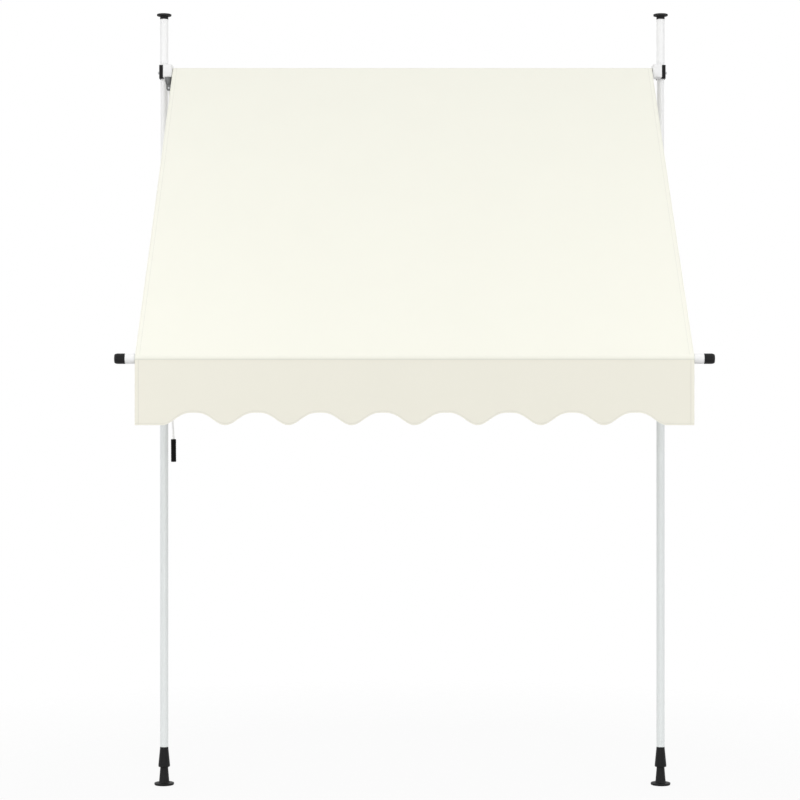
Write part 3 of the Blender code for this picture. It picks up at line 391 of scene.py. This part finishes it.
def canvas_material(name, cloth, lines, painted_shade=(1.0, 1.0, 1.0)):
    """Woven acrylic.

    lines are rows of stitches, as (along, across, place, shade) on the cloth's own coordinates; the last is
    how strongly painted shade darkens the fold beside the stitches. The last argument, one by default,
    multiplies the yarn's colour as painted shade over a whole sheet.
    """
    made, tree, principled = new_material(name, Sheen_Weight=0.15, Sheen_Roughness=0.5,
                                          Specular_IOR_Level=0.2)
    yarn_share, weave_height, thread_mix, dimple_depth = 0.6, 0.35, 0.8, 0.8
    where = add_node(tree, "ShaderNodeUVMap", uv_map="cloth").outputs[0]
    weave = placed(tree, "plain weave", Cloth=where, Thread=cloth.thread)
    patch = placed(tree, "uneven patches", Scale=5.0)
    # The yarn's colour times the sheet's painted shade, which is one on the canopy
    base = tuple(c * t for c, t in zip(cloth.colour, painted_shade))
    thread = darker(base, THREAD_AND_CREASE_SHADE)
    cloudy = maths(tree, "MULTIPLY", patch["Patch"], 1 - yarn_share)
    shade = maths(tree, "MULTIPLY_ADD", weave["Yarn"], yarn_share, cloudy)
    colour = tinted(tree, principled, base, darker(base, YARN_SHADE), shade)
    height = maths(tree, "MULTIPLY", weave["Height"], weave_height)
    parts = add_node(tree, "ShaderNodeSeparateXYZ", {0: where}).outputs
    size = {"x": parts["X"], "y": parts["Y"], "abs x": maths(tree, "ABSOLUTE", parts["X"])}
    for along, across, place, crease_shade in lines:
        stitch = placed(tree, "stitch line", Along=size[along], Across=size[across], Line=place,
                        Stitch=cloth.stitch)
        # Thread colour on the stitches, and painted shade in the fold beside them, by the line's last value
        thread_and_crease_shade = maths(tree, "MAXIMUM", stitch["Mask"], maths(tree, "MULTIPLY", stitch["Dimple"], crease_shade))
        colour = tinted(tree, principled, colour, thread, maths(tree, "MULTIPLY", thread_and_crease_shade, thread_mix))
        dimple = maths(tree, "MULTIPLY", stitch["Dimple"], dimple_depth)
        sunk = maths(tree, "SUBTRACT", stitch["Mask"], dimple)
        height = maths(tree, "ADD", height, sunk)
    roughened(tree, principled, weave["Yarn"], 0.82, 0.95)
    bumped(tree, principled, height, 0.35, 0.0005)
    return made


def coat_material(name, colour):
    """White powder coat on drawn tube."""
    made, tree, principled = new_material(name, Specular_IOR_Level=0.5, Coat_Weight=0.25, Coat_Roughness=0.18)
    grain = placed(tree, "surface grain", Grain=1500.0, Peel=420.0)
    patch = placed(tree, "uneven patches", Scale=11.0)
    dust = placed(tree, "settled dust", Amount=0.12)
    shade = tinted(tree, principled, colour, darker(colour, COAT_SHADE), patch["Patch"])
    tinted(tree, principled, shade, LIGHT_DUST, dust["Dust"])
    roughened(tree, principled, patch["Patch"], 0.26, 0.42)
    bumped(tree, principled, grain["Height"], 0.12, 0.0002)
    return made


def moulded_material(name, colour, rough, dust_amount, grain_strength, gloss):
    """Grained injection-moulded plastic."""
    made, tree, principled = new_material(name, Specular_IOR_Level=gloss)
    grain = placed(tree, "surface grain", Grain=2600.0, Peel=700.0)
    patch = placed(tree, "uneven patches", Scale=24.0)
    dust = placed(tree, "settled dust", Amount=dust_amount)
    shade = tinted(tree, principled, colour, darker(colour, PLASTIC_SHADE), patch["Patch"])
    tinted(tree, principled, shade, DARK_DUST, dust["Dust"])
    roughened(tree, principled, patch["Patch"], rough - 0.07, rough + 0.08)
    bumped(tree, principled, grain["Height"], grain_strength, 0.00025)
    return made


def rubber_material():
    """Matte rubber with a bloom."""
    made, tree, principled = new_material("foot rubber", Specular_IOR_Level=0.3)
    patch = placed(tree, "uneven patches", Scale=30.0)
    grain = placed(tree, "surface grain", Grain=1800.0, Peel=300.0)
    tinted(tree, principled, (0.012, 0.012, 0.012), (0.030, 0.030, 0.030), patch["Patch"])
    roughened(tree, principled, patch["Patch"], 0.75, 0.92)
    bumped(tree, principled, grain["Height"], 0.35, 0.0004)
    return made


def metal_material(name, colour, rough, stretch, metallic):
    """Plated or cast metal with fine lines along one axis."""
    made, tree, principled = new_material(name, Metallic=metallic)
    line = placed(tree, "drawn lines", Stretch=stretch)
    patch = placed(tree, "uneven patches", Scale=45.0)
    tinted(tree, principled, colour, darker(colour, METAL_SHADE), patch["Patch"])
    roughened(tree, principled, line["Line"], rough - 0.1, rough + 0.12)
    bumped(tree, principled, line["Line"], 0.15, 0.0001)
    return made


def build_materials(context):
    """Every finish by its slot's name, made once."""
    if "powder coat" in bpy.data.materials:
        return
    for build in (build_weave_group, build_stitch_group, build_patch_group, build_grain_group,
                  build_dust_group, build_drawn_group):
        build()
    finish = context.scene.awning_finish
    coat_material("powder coat", tuple(finish.coat))
    # The same powder coat again, lighter, as painted light
    coat_material("powder coat painted lit", tuple(finish.bright))
    for name, colour, rough, dust_amount, grain_strength, gloss in (
        ("housing plastic", finish.white, 0.50, 0.10, 0.15, 0.45),
        ("black moulding", finish.black, 0.50, 0.03, 0.25, 0.20),
        ("grip plastic", finish.grip, 0.62, 0.01, 0.40, 0.10),
        ("natural nylon", finish.nylon, 0.40, 0.0, 0.10, 0.45),
    ):
        moulded_material(name, tuple(colour), rough, dust_amount, grain_strength, gloss)
    rubber_material()
    metal_material("zinc plate", tuple(finish.steel), 0.38, (1.0, 1.0, 0.03), 1.0)
    metal_material("grey die casting", tuple(finish.casting), 0.52, (1.0, 1.0, 1.0), 0.7)


def skin_of(node):
    """The finish of a node, or else of its slot."""
    return bpy.data.materials[FINISH_OF.get(node, SKINS[SLOT_OF[node]])]


def add_piece(name, shape, skin, node, sharp=35, replaced=True):
    """Turns a bmesh into a piece that rides as a node does and stands for it."""
    bmesh.ops.recalc_face_normals(shape, faces=shape.faces)
    mesh = bpy.data.meshes.new(name)
    shape.to_mesh(mesh)
    shape.free()
    mesh.materials.append(skin)
    mesh.shade_smooth()
    mesh.set_sharp_from_angle(angle=radians(sharp))
    made = bpy.data.objects.new(name, mesh)
    bpy.context.scene.collection.objects.link(made)
    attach(made, BODY_OF[node])
    if replaced:
        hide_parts(node)
    return made


def softened(node, width, segments=2, limit=34):
    """A copy of a moulded or cast node. Edges that turn by more than limit degrees are rounded."""
    shape = bmesh.new()
    shape.from_mesh(frame["nodes"][node].data)
    bmesh.ops.remove_doubles(shape, verts=shape.verts, dist=0.00002)
    bmesh.ops.dissolve_limit(shape, angle_limit=radians(1.5), verts=shape.verts, edges=shape.edges)
    made = add_piece(node + "_shell", shape, skin_of(node), node, limit + 1)
    rounding = made.modifiers.new("rounding", "BEVEL")
    rounding.width = width
    rounding.segments = segments
    rounding.limit_method = "ANGLE"
    rounding.angle_limit = radians(limit)
    rounding.harden_normals = True
    return made


def ring_points(radius, count, place):
    """Points of a circle about local Z, put in the world by a matrix."""
    angles = [tau * i / count for i in range(count)]
    return [place @ Vector((radius * cos(angle), radius * sin(angle), 0)) for angle in angles]


def lathe(shape, outline, place, count=48):
    """Adds a closed turned body from (radius, height) points. Radius 0 is a pole."""
    rings = []
    for radius, height in outline:
        station = place @ Matrix.Translation((0, 0, height))
        points = ring_points(radius, count, station) if radius > 0 else [station.translation]
        rings.append([shape.verts.new(point) for point in points])
    pairs = list(zip(rings, rings[1:]))
    if outline[0][0] > 0:
        pairs.append((rings[-1], rings[0]))
    for low, high in pairs:
        for i in range(count):
            j = i + 1
            corners = [low[i % len(low)], low[j % len(low)], high[j % len(high)], high[i % len(high)]]
            corners = list(dict.fromkeys(corners))
            if len(corners) > 2:
                shape.faces.new(corners)


AXES = {
    "X": Matrix.Rotation(pi / 2, 4, "Y"), "Y": Matrix.Rotation(-pi / 2, 4, "X"), "Z": Matrix.Identity(4),
}


def along(point, axis):
    """A place at a point, with local Z along a world axis."""
    return Matrix.Translation(point) @ AXES[axis]


def joint_place(name):
    """A place on a joint's axis, with local Z along the axis."""
    joint = JOINTS[name]
    turn = Vector(joint["axis"]).to_track_quat("Z", "Y").to_matrix().to_4x4()
    return Matrix.Translation(joint["pos_m"]) @ turn


def turned_extent(node, place):
    """(lowest, highest, outer radius) of a node in a place's own coordinates."""
    points = [place.inverted() @ vert.co for vert in frame["nodes"][node].data.vertices]
    return min(p.z for p in points), max(p.z for p in points), max(p.xy.length for p in points)


def add_thread(name, node, place, low, high, root, crest, pitch, steps=18):
    """A ridge that winds up a bar, as a closed body with a triangular section."""
    shape = bmesh.new()
    ridge_share = 0.38
    half_width = pitch * ridge_share
    turns = (high - low - pitch) / pitch
    count = int(turns * steps)
    rows = []
    for i in range(count + 1):
        angle = tau * i / steps
        height = low + pitch / 2 + pitch * i / steps
        rows.append([shape.verts.new(place @ Vector((r * cos(angle), r * sin(angle), height + rise)))
                     for r, rise in ((root, -half_width), (crest, 0), (root, half_width))])
    for a, b in zip(rows, rows[1:]):
        for i in range(3):
            shape.faces.new((a[i], a[(i + 1) % 3], b[(i + 1) % 3], b[i]))
    shape.faces.new(rows[0])
    shape.faces.new(rows[-1])
    return add_piece(name, shape, skin_of(node), node, replaced=False)


def add_fins(name, node, place, count, foot, tip, thickness):
    """Flat fins round a turned piece. foot and tip are their ends as (inner radius, outer radius, height)."""
    shape = bmesh.new()
    for k in range(count):
        turn = place @ Matrix.Rotation(tau * (k + 0.5) / count, 4, "Z")
        corners = [[shape.verts.new(turn @ Vector((radius, side * thickness / 2, height)))
                    for radius in (inner, outer) for side in (-1, 1)] for inner, outer, height in (foot, tip)]
        low, high = corners
        for i, j in ((0, 1), (1, 3), (3, 2), (2, 0)):
            shape.faces.new((low[i], low[j], high[j], high[i]))
        for end in corners:
            shape.faces.new((end[0], end[1], end[3], end[2]))
    return add_piece(name, shape, skin_of(node), node, replaced=False)


def build_grip(node, joint, bore, closed):
    """A handle with soft ends and rings that keep a hand from slipping."""
    place = joint_place(joint)
    low, high, radius = turned_extent(node, place)
    ease, depth, pitch, margin = 0.0022, 0.0006, 0.0068, 0.012
    groove_start, groove_end, groove_top = 0.0006, 0.0016, 0.0022
    outline = [(radius - ease, low), (radius - ease * 0.3, low + ease * 0.3), (radius, low + ease)]
    rings = int((high - low - 2 * margin) / pitch)
    start = (low + high - rings * pitch) / 2
    for i in range(rings):
        base = start + i * pitch
        outline += [(radius, base), (radius - depth, base + groove_start),
                    (radius - depth, base + groove_end), (radius, base + groove_top)]
    outline += [(radius, high - ease), (radius - ease * 0.3, high - ease * 0.3), (radius - ease, high)]
    if closed:
        outline = [(0, low)] + outline + [(bore, high), (bore, low + closed), (0, low + closed)]
    else:
        outline += [(bore, high), (bore, low)]
    shape = bmesh.new()
    lathe(shape, outline, place, 40)
    return add_piece(node + "_turned", shape, skin_of(node), node)


def build_tube(node, axis, wall, count=56):
    """A drawn tube with broken edges, at the place and length of its node."""
    reach = half(node)["XYZ".index(axis)]
    outer = half(node)[("XYZ".index(axis) + 1) % 3]
    inner = outer - wall
    ease = 0.0003
    shape = bmesh.new()
    lathe(shape, [(outer - ease, -reach), (outer, -reach + ease), (outer, reach - ease),
                  (outer - ease, reach), (inner + ease, reach), (inner, reach - ease),
                  (inner, -reach + ease), (inner + ease, -reach)], along(middle(node), axis), count)
    return add_piece(node + "_drawn", shape, skin_of(node), node)


def closed_sheet(shape, us, vs, place, flat):
    """Adds a thin closed sheet.

    place(u, v, face) is a point in the world, with face 0 in front. flat(u, v) is its place on the cloth.
    """
    layer = shape.loops.layers.uv.new("cloth")
    grids = [[[shape.verts.new(place(u, v, face)) for u in us] for v in vs] for face in (0, 1)]
    cloth = {}
    for grid in grids:
        for row, v in zip(grid, vs):
            for vert, u in zip(row, us):
                cloth[vert] = flat(u, v)
    front, back = grids
    last_v = len(vs) - 1
    last_u = len(us) - 1
    quads = []
    for j in range(last_v):
        for i in range(last_u):
            quads.append((front[j][i], front[j][i + 1], front[j + 1][i + 1], front[j + 1][i]))
            quads.append((back[j][i], back[j + 1][i], back[j + 1][i + 1], back[j][i + 1]))
    for i in range(last_u):
        quads.append((front[0][i], back[0][i], back[0][i + 1], front[0][i + 1]))
        quads.append((front[last_v][i], front[last_v][i + 1], back[last_v][i + 1], back[last_v][i]))
    for j in range(last_v):
        quads.append((front[j][0], front[j + 1][0], back[j + 1][0], back[j][0]))
        quads.append((front[j][last_u], back[j][last_u], back[j + 1][last_u], front[j + 1][last_u]))
    for quad in quads:
        face = shape.faces.new(quad)
        for loop in face.loops:
            loop[layer].uv = cloth[loop.vert]


def spaced(low, high, count, extra=()):
    """Even stations from low to high, with some extra ones put in."""
    stations = [low + (high - low) * i / count for i in range(count + 1)]
    return sorted(set(stations) | set(extra))


class AWNING_OT_stage(bpy.types.Operator):
    """Pale floor, soft studio light and the camera."""

    bl_idname = "awning.stage"
    bl_label = "Stage"

    def execute(self, context):
        stage = context.scene.awning_stage
        self.build_floor(stage)
        self.build_world(context, stage)
        for name, (place, target, size, power, share) in SOFTBOXES.items():
            self.add_softbox(name, place, target, size, getattr(stage, power) * share)
        self.add_camera(context, stage)
        context.scene.view_settings.view_transform = "Standard"
        return {"FINISHED"}

    def build_floor(self, stage):
        """A round floor that fades into the white background, so that no horizon shows."""
        shape = bmesh.new()
        bmesh.ops.create_circle(shape, cap_ends=True, segments=96, radius=stage.floor)
        mesh = bpy.data.meshes.new("floor")
        shape.to_mesh(mesh)
        shape.free()
        floor = bpy.data.objects.new("floor", mesh)
        bpy.context.scene.collection.objects.link(floor)
        made = bpy.data.materials.new("pale floor")
        made.use_nodes = True
        tree = made.node_tree
        principled = tree.nodes["Principled BSDF"]
        principled.inputs["Roughness"].default_value = 0.9
        principled.inputs["Specular IOR Level"].default_value = 0.1
        tree.nodes.remove(tree.nodes["Material Output"])
        cloud = add_node(tree, "ShaderNodeTexNoise", {"Scale": 3.0})
        tinted(tree, principled, *FLOOR_TONES, cloud.outputs["Fac"])
        white = add_node(tree, "ShaderNodeEmission", {"Strength": 1.0})
        path = add_node(tree, "ShaderNodeLightPath").outputs
        seen = maths(tree, "MAXIMUM", path["Is Camera Ray"], path["Is Glossy Ray"])
        lifted = add_node(tree, "ShaderNodeMixShader", {0: maths(tree, "MULTIPLY", seen, FLOOR_LIFT),
                                                        1: principled.outputs[0], 2: white.outputs[0]})
        where = add_node(tree, "ShaderNodeTexCoord").outputs["Object"]
        far = add_node(tree, "ShaderNodeVectorMath", {0: where}, operation="LENGTH").outputs["Value"]
        fade = add_node(tree, "ShaderNodeMapRange", {"Value": far, "From Min": stage.floor * FLOOR_FADE[0],
                                                     "From Max": stage.floor * FLOOR_FADE[1]}).outputs[0]
        clear = add_node(tree, "ShaderNodeBsdfTransparent")
        mix = add_node(tree, "ShaderNodeMixShader", {0: fade, 1: lifted.outputs[0], 2: clear.outputs[0]})
        add_node(tree, "ShaderNodeOutputMaterial", {0: mix.outputs[0]})
        mesh.materials.append(made)

    def build_world(self, context, stage):
        """White where it is seen. Its light is plain above the horizon, and weaker below it."""
        world = bpy.data.worlds.new("studio")
        context.scene.world = world
        world.use_nodes = True
        tree = world.node_tree
        background = tree.nodes["Background"]
        path = add_node(tree, "ShaderNodeLightPath").outputs
        seen = maths(tree, "MAXIMUM", path["Is Camera Ray"],
                     maths(tree, "MAXIMUM", path["Is Glossy Ray"], path["Is Transmission Ray"]))
        toward = add_node(tree, "ShaderNodeTexCoord").outputs["Generated"]
        up = add_node(tree, "ShaderNodeSeparateXYZ", {0: toward}).outputs["Z"]
        level = add_node(tree, "ShaderNodeMapRange", {
            "Value": up, "From Min": -HORIZON_BLEND, "From Max": HORIZON_BLEND,
            "To Min": stage.ground, "To Max": stage.sky,
        }).outputs[0]
        background.inputs["Color"].default_value = (1.0, 1.0, 1.0, 1.0)
        tree.links.new(maths(tree, "MAXIMUM", level, seen), background.inputs["Strength"])

    def add_softbox(self, name, place, target, size, power):
        """A large area light that looks at a point."""
        light = bpy.data.lights.new(name, "AREA")
        light.size = size
        light.energy = power
        lamp = bpy.data.objects.new(name, light)
        lamp.location = place
        lamp.rotation_euler = (Vector(target) - Vector(place)).to_track_quat("-Z", "Y").to_euler()
        lamp.visible_camera = False
        bpy.context.scene.collection.objects.link(lamp)

    def add_camera(self, context, stage):
        """The photo's view: level, square on, from eye height."""
        camera = bpy.data.cameras.new("camera")
        camera.lens = stage.focal
        camera.sensor_width = 36.0
        made = bpy.data.objects.new("camera", camera)
        made.location = stage.camera
        made.rotation_euler = (pi / 2, 0, 0)
        bpy.context.scene.collection.objects.link(made)
        context.scene.camera = made


class AWNING_OT_canopy(bpy.types.Operator):
    """The sheet from the roll to the front bar."""

    bl_idname = "awning.canopy"
    bl_label = "Canopy"

    def execute(self, context):
        build_materials(context)
        cloth = context.scene.awning_cloth
        bar = Vector((0, BAR.y, BAR.z))
        roll = Vector((0, ROLLER.y, ROLLER.z))
        slope = (bar - roll).normalized()
        up = Vector((0, slope.z, -slope.y))
        pocket = BAR_RADIUS + SEAT_GAP + cloth.thickness
        start = roll + up * (ROLL_RADIUS + SEAT_GAP)
        end = bar + up * (pocket + SEAT_GAP)
        length = (end - start).length
        hem_line = CLOTH_HALF - cloth.hem
        ripple_depth, pull_depth, hem_inset, hem_step = 0.0016, 0.0005, 0.003, 0.0004

        def place(u, v, face):
            t = v / length
            hang = cloth.sag * 4 * t * (1 - t)
            calm = min(1.0, 6 * t, 6 * (1 - t))
            ripple = noise.noise(Vector((u * 3.1, v * 1.3, 0.7))) * ripple_depth * calm
            pull = sin(u * 46 + 1.7 * sin(u * 9)) * pull_depth * max(0.0, 1 - 9 * t)
            level = ripple + pull - hang
            thick = cloth.thickness * min(1.0, 0.15 + (1 - t) * 40) if face == 0 else 0.0
            if face == 1 and abs(u) > hem_line and 0.01 < t < 0.99:
                thick = -cloth.thickness
            return Vector((u, 0, 0)) + start.lerp(end, t) + up * (level + thick)

        edges = [s * (hem_line + d) for s in (-1, 1) for d in (-hem_step, hem_step)]
        shape = bmesh.new()
        closed_sheet(shape, spaced(-CLOTH_HALF, CLOTH_HALF, 110, edges), spaced(0, length, 76), place,
                     lambda u, v: (u, v))
        # Each line's last value is the strength of painted shade beside its stitches
        lines = [("y", "abs x", hem_line + hem_inset, 0.1), ("y", "abs x", CLOTH_HALF - hem_inset, 0.1)]
        canopy = add_piece("canopy_cloth", shape, canvas_material("canopy canvas", cloth, lines), "canopy")
        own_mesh(canopy)
        return {"FINISHED"}

    def folded(self, point):
        """Where the arms' limit puts a point of the bar."""
        swing = JOINTS["left_arm_swing"]
        pivot = Vector((0, *swing["pos_m"][1:]))
        turn = Matrix.Rotation(radians(swing["range_deg"][1]), 3, Vector(swing["axis"]))
        return pivot + turn @ (point - pivot)


class AWNING_OT_roll(bpy.types.Operator):
    """Turns of cloth that stay on the roller."""

    bl_idname = "awning.roll"
    bl_label = "Fabric roll"

    def execute(self, context):
        build_materials(context)
        cloth = context.scene.awning_cloth
        inner = ROLLER_RADIUS + SEAT_GAP
        turns, count, cloth_share = 3, 40, 0.86
        step = (ROLL_RADIUS - inner) / turns
        thick = step * cloth_share
        reach = half("fabric_roll").x
        sides = (((0, 1), (-reach, reach)), ((2, 3), (-reach, reach)), ((0, 2), (0, thick)),
                 ((1, 3), (0, thick)))
        shape = bmesh.new()
        layer = shape.loops.layers.uv.new("cloth")
        rows = []
        for i in range(turns * count + 1):
            angle = tau * i / count
            low = inner + step * min(i, (turns - 1) * count) / count
            points = []
            for radius in (low, min(low + thick, ROLL_RADIUS)):
                for x in (-reach, reach):
                    where = Vector((x, ROLLER.y + radius * cos(angle), ROLLER.z + radius * sin(angle)))
                    points.append(shape.verts.new(where))
            rows.append((points, angle * low))
        for (a, s), (b, t) in zip(rows, rows[1:]):
            for quad, (left, right) in sides:
                face = shape.faces.new((a[quad[0]], a[quad[1]], b[quad[1]], b[quad[0]]))
                for loop, uv in zip(face.loops, ((left, s), (right, s), (right, t), (left, t))):
                    loop[layer].uv = uv
        for points, _ in (rows[0], rows[-1]):
            shape.faces.new((points[0], points[1], points[3], points[2]))
        add_piece("fabric_turns", shape, canvas_material("rolled canvas", cloth, []), "fabric_roll", 50)
        return {"FINISHED"}


class AWNING_OT_valance(bpy.types.Operator):
    """Pocket round the bar, its lap, and the scalloped valance."""

    bl_idname = "awning.valance"
    bl_label = "Valance"

    def execute(self, context):
        build_materials(context)
        cloth = context.scene.awning_cloth
        self.build_pocket(cloth)
        self.build_drop(cloth)
        return {"FINISHED"}

    def build_pocket(self, cloth):
        """The canopy's end, wrapped once round the bar and lapped over its front."""
        inner = BAR_RADIUS + SEAT_GAP
        wrap = tau + POCKET_SEAM - POCKET_START
        grow = cloth.thickness + SEAT_GAP / 2
        lap_ease, lap_length, soft_depth, seam_inset = 0.9, 0.8, 0.00025, 0.002

        def place(u, v, face):
            lap = max(0.0, min(1.0, (v - POCKET_START - tau + lap_ease) / lap_length))
            radius = inner + grow * lap + (cloth.thickness if face == 0 else 0.0)
            soft = noise.noise(Vector((u * 14, v * 1.5, 3.0))) * soft_depth
            radius += max(soft, 0.0)
            return Vector((u, BAR.y + radius * cos(v), BAR.z + radius * sin(v)))

        shape = bmesh.new()
        closed_sheet(shape, spaced(-CLOTH_HALF, CLOTH_HALF, 90),
                     spaced(POCKET_START, POCKET_START + wrap, 64), place, lambda u, v: (u, v * inner))
        end = (tau + POCKET_SEAM) * inner
        # The seam gets full painted shade: a painted shadow line under the lap's edge
        lines = [("x", "y", end - seam_inset, 1.0)]
        pocket = add_piece("bar_pocket", shape, canvas_material("pocket canvas", cloth, lines), "valance",
                           replaced=False)

    def build_drop(self, cloth):
        """The sheet that hangs from the seam, with its lobes."""
        top = BAR.z - SEAM_DROP
        last_low = cloth.lobes * cloth.scallop
        high = VALANCE_BASE + cloth.scallop_depth
        face_y = BAR.y - BAR_RADIUS - SEAT_GAP - cloth.thickness - SEAT_GAP
        wave_length, edge_roll, roll_reach, column = 0.335, 0.0007, 0.004, 0.0075
        hem_height, side_hem = 0.0055, 0.012

        def base(u):
            if abs(u) > last_low:
                return high - cloth.scallop_depth
            return high - cloth.scallop_depth * (0.5 + 0.5 * cos(tau * u / cloth.scallop)) ** 1.5

        def place(u, v, face):
            drop = top - base(u)
            hang = v ** 1.3
            swell = 0.6 * sin(tau * u / wave_length + 0.6) + 0.5 * noise.noise(Vector((u * 5, v, 9)))
            wave = cloth.wave * hang * swell
            roll = edge_roll * max(0.0, 1 - v * drop / roll_reach)
            front = cloth.thickness + roll if face == 0 else 0.0
            return Vector((u, face_y - front - wave * 0.5 - abs(wave) * 0.2, top - drop * v))

        count = int(ceil(2 * CLOTH_HALF / column))
        rows = [0, 0.006, 0.012] + spaced(0.03, 1.0, 26)
        shape = bmesh.new()
        closed_sheet(shape, spaced(-CLOTH_HALF, CLOTH_HALF, count), rows, place,
                     lambda u, v: (u, (top - base(u)) * (1 - v)))
        # Each line's last value is the strength of painted shade beside its stitches
        lines = [("x", "y", hem_height, 0.3), ("y", "abs x", CLOTH_HALF - side_hem, 0.4)]
        # The valance's canvas is the canopy's yarn darkened by painted shade
        canvas = canvas_material("valance canvas with painted shade", cloth, lines, cloth.valance_painted_shade)
        made = add_piece("scalloped_valance", shape, canvas, "valance")


class AWNING_OT_posts(bpy.types.Operator):
    """Telescopic tubes, collars and sleeves."""

    bl_idname = "awning.posts"
    bl_label = "Posts"

    def execute(self, context):
        build_materials(context)
        edge = context.scene.awning_finish.edge
        for side in SIDES:
            for node in ("lower_tube", "upper_tube", "top_sleeve"):
                build_tube(f"{side}_{node}", "Z", TUBE_WALL)
            softened(f"{side}_collar", edge)
            softened(f"{side}_collar_bolt", edge / 2)
            for node in ("guide_plug", "top_plug", "top_pad"):
                softened(f"{side}_{node}", edge)
        return {"FINISHED"}


class AWNING_OT_feet(bpy.types.Operator):
    """Soles, bases, spindles and jack nuts."""

    bl_idname = "awning.feet"
    bl_label = "Feet"

    def execute(self, context):
        build_materials(context)
        edge = context.scene.awning_finish.edge
        for side in SIDES:
            for node in ("foot_sole", "foot_base", "jack_nut"):
                softened(f"{side}_{node}", edge)
            self.build_spindle(side)
        return {"FINISHED"}

    def build_spindle(self, side):
        """Threaded spindle: a core and the ridge that winds up it."""
        node = f"{side}_foot_spindle"
        place = along(middle(node), "Z")
        low, high, radius = turned_extent(node, place)
        core = radius - THREAD_DEPTH
        overlap = 0.0001
        shape = bmesh.new()
        lathe(shape, [(0, low), (core, low), (core, high), (0, high)], place, 24)
        add_piece(node + "_core", shape, skin_of(node), node)
        add_thread(node + "_thread", node, place, low, high, core - overlap, radius, SPINDLE_LEAD)


class AWNING_OT_head(bpy.types.Operator):
    """Clamps, housings, covers and the roller."""

    bl_idname = "awning.head"
    bl_label = "Head"

    def execute(self, context):
        build_materials(context)
        edge = context.scene.awning_finish.edge
        for node in ("gear_housing", "bearing_housing", "gear_cover", "bearing_bush", "gear_neck"):
            softened(node, edge)
        neck = joint_place("crank_turn")
        top, foot, radius = turned_extent("gear_neck", neck)
        fins, thickness, straight, clear = 8, 0.0022, 0.0102, 0.0012
        add_fins("neck_fins", "gear_neck", neck, fins, (radius * 0.80, radius, top + straight),
                 (radius * 0.68, radius * 0.80, foot - clear), thickness)
        for side in SIDES:
            softened(f"{side}_head_clamp", edge)
            softened(f"{side}_head_screw", edge / 2)
        for node in ("roller_drive_plug", "roller_idle_plug", "worm_wheel", "worm_shaft", "knuckle_pin"):
            softened(node, edge / 4, 1)
        build_tube("roller_tube", "X", TUBE_WALL)
        return {"FINISHED"}


class AWNING_OT_crank(bpy.types.Operator):
    """Crank rod and grips."""

    bl_idname = "awning.crank"
    bl_label = "Crank"

    def execute(self, context):
        build_materials(context)
        edge = context.scene.awning_finish.edge
        softened("crank_rod", edge, 1, 50)
        build_grip("upper_grip", "upper_grip_spin", GRIP_BORE, 0)
        build_grip("lower_grip", "lower_grip_spin", GRIP_BORE, GRIP_END)
        return {"FINISHED"}


class AWNING_OT_arms(bpy.types.Operator):
    """Arm clamps, arms and rings."""

    bl_idname = "awning.arms"
    bl_label = "Arms"

    def execute(self, context):
        build_materials(context)
        edge = context.scene.awning_finish.edge
        for side in SIDES:
            build_tube(f"{side}_arm_tube", "Y", TUBE_WALL)
            for node in ("arm_clamp", "arm_knuckle", "arm_ring"):
                softened(f"{side}_{node}", edge)
            for node in ("arm_clamp_bolt", "pivot_bolt"):
                softened(f"{side}_{node}", edge / 2)
        return {"FINISHED"}


class AWNING_OT_bar(bpy.types.Operator):
    """Front bar and its caps."""

    bl_idname = "awning.bar"
    bl_label = "Front bar"

    def execute(self, context):
        build_materials(context)
        build_tube("front_bar", "X", BAR_WALL)
        for side in SIDES:
            softened(f"{side}_bar_cap", context.scene.awning_finish.edge)
        return {"FINISHED"}


STEPS = (AWNING_OT_stage, AWNING_OT_canopy, AWNING_OT_roll, AWNING_OT_valance, AWNING_OT_posts,
         AWNING_OT_feet, AWNING_OT_head, AWNING_OT_crank, AWNING_OT_arms, AWNING_OT_bar)


class AWNING_PT_panel(bpy.types.Panel):
    """Lists the awning's pieces in the order they are built."""

    bl_label = "Awning"
    bl_idname = "AWNING_PT_panel"
    bl_space_type = "VIEW_3D"
    bl_region_type = "UI"
    bl_category = "Awning"

    def draw(self, context):
        for step in STEPS:
            self.layout.operator(step.bl_idname)


CLASSES = (AwningCloth, AwningFinish, AwningStage, *STEPS, AWNING_PT_panel)


def register():
    """Adds the classes and the awning's settings."""
    for item in CLASSES:
        bpy.utils.register_class(item)
    bpy.types.Scene.awning_cloth = PointerProperty(type=AwningCloth)
    bpy.types.Scene.awning_finish = PointerProperty(type=AwningFinish)
    bpy.types.Scene.awning_stage = PointerProperty(type=AwningStage)


def unregister():
    """Takes the settings and the classes away."""
    del bpy.types.Scene.awning_stage
    del bpy.types.Scene.awning_finish
    del bpy.types.Scene.awning_cloth
    for item in reversed(CLASSES):
        bpy.utils.unregister_class(item)


def main():
    """Builds every piece in order."""
    register()
    for step in STEPS:
        area, name = step.bl_idname.split(".")
        getattr(getattr(bpy.ops, area), name)()


if __name__ == "__main__":
    main()
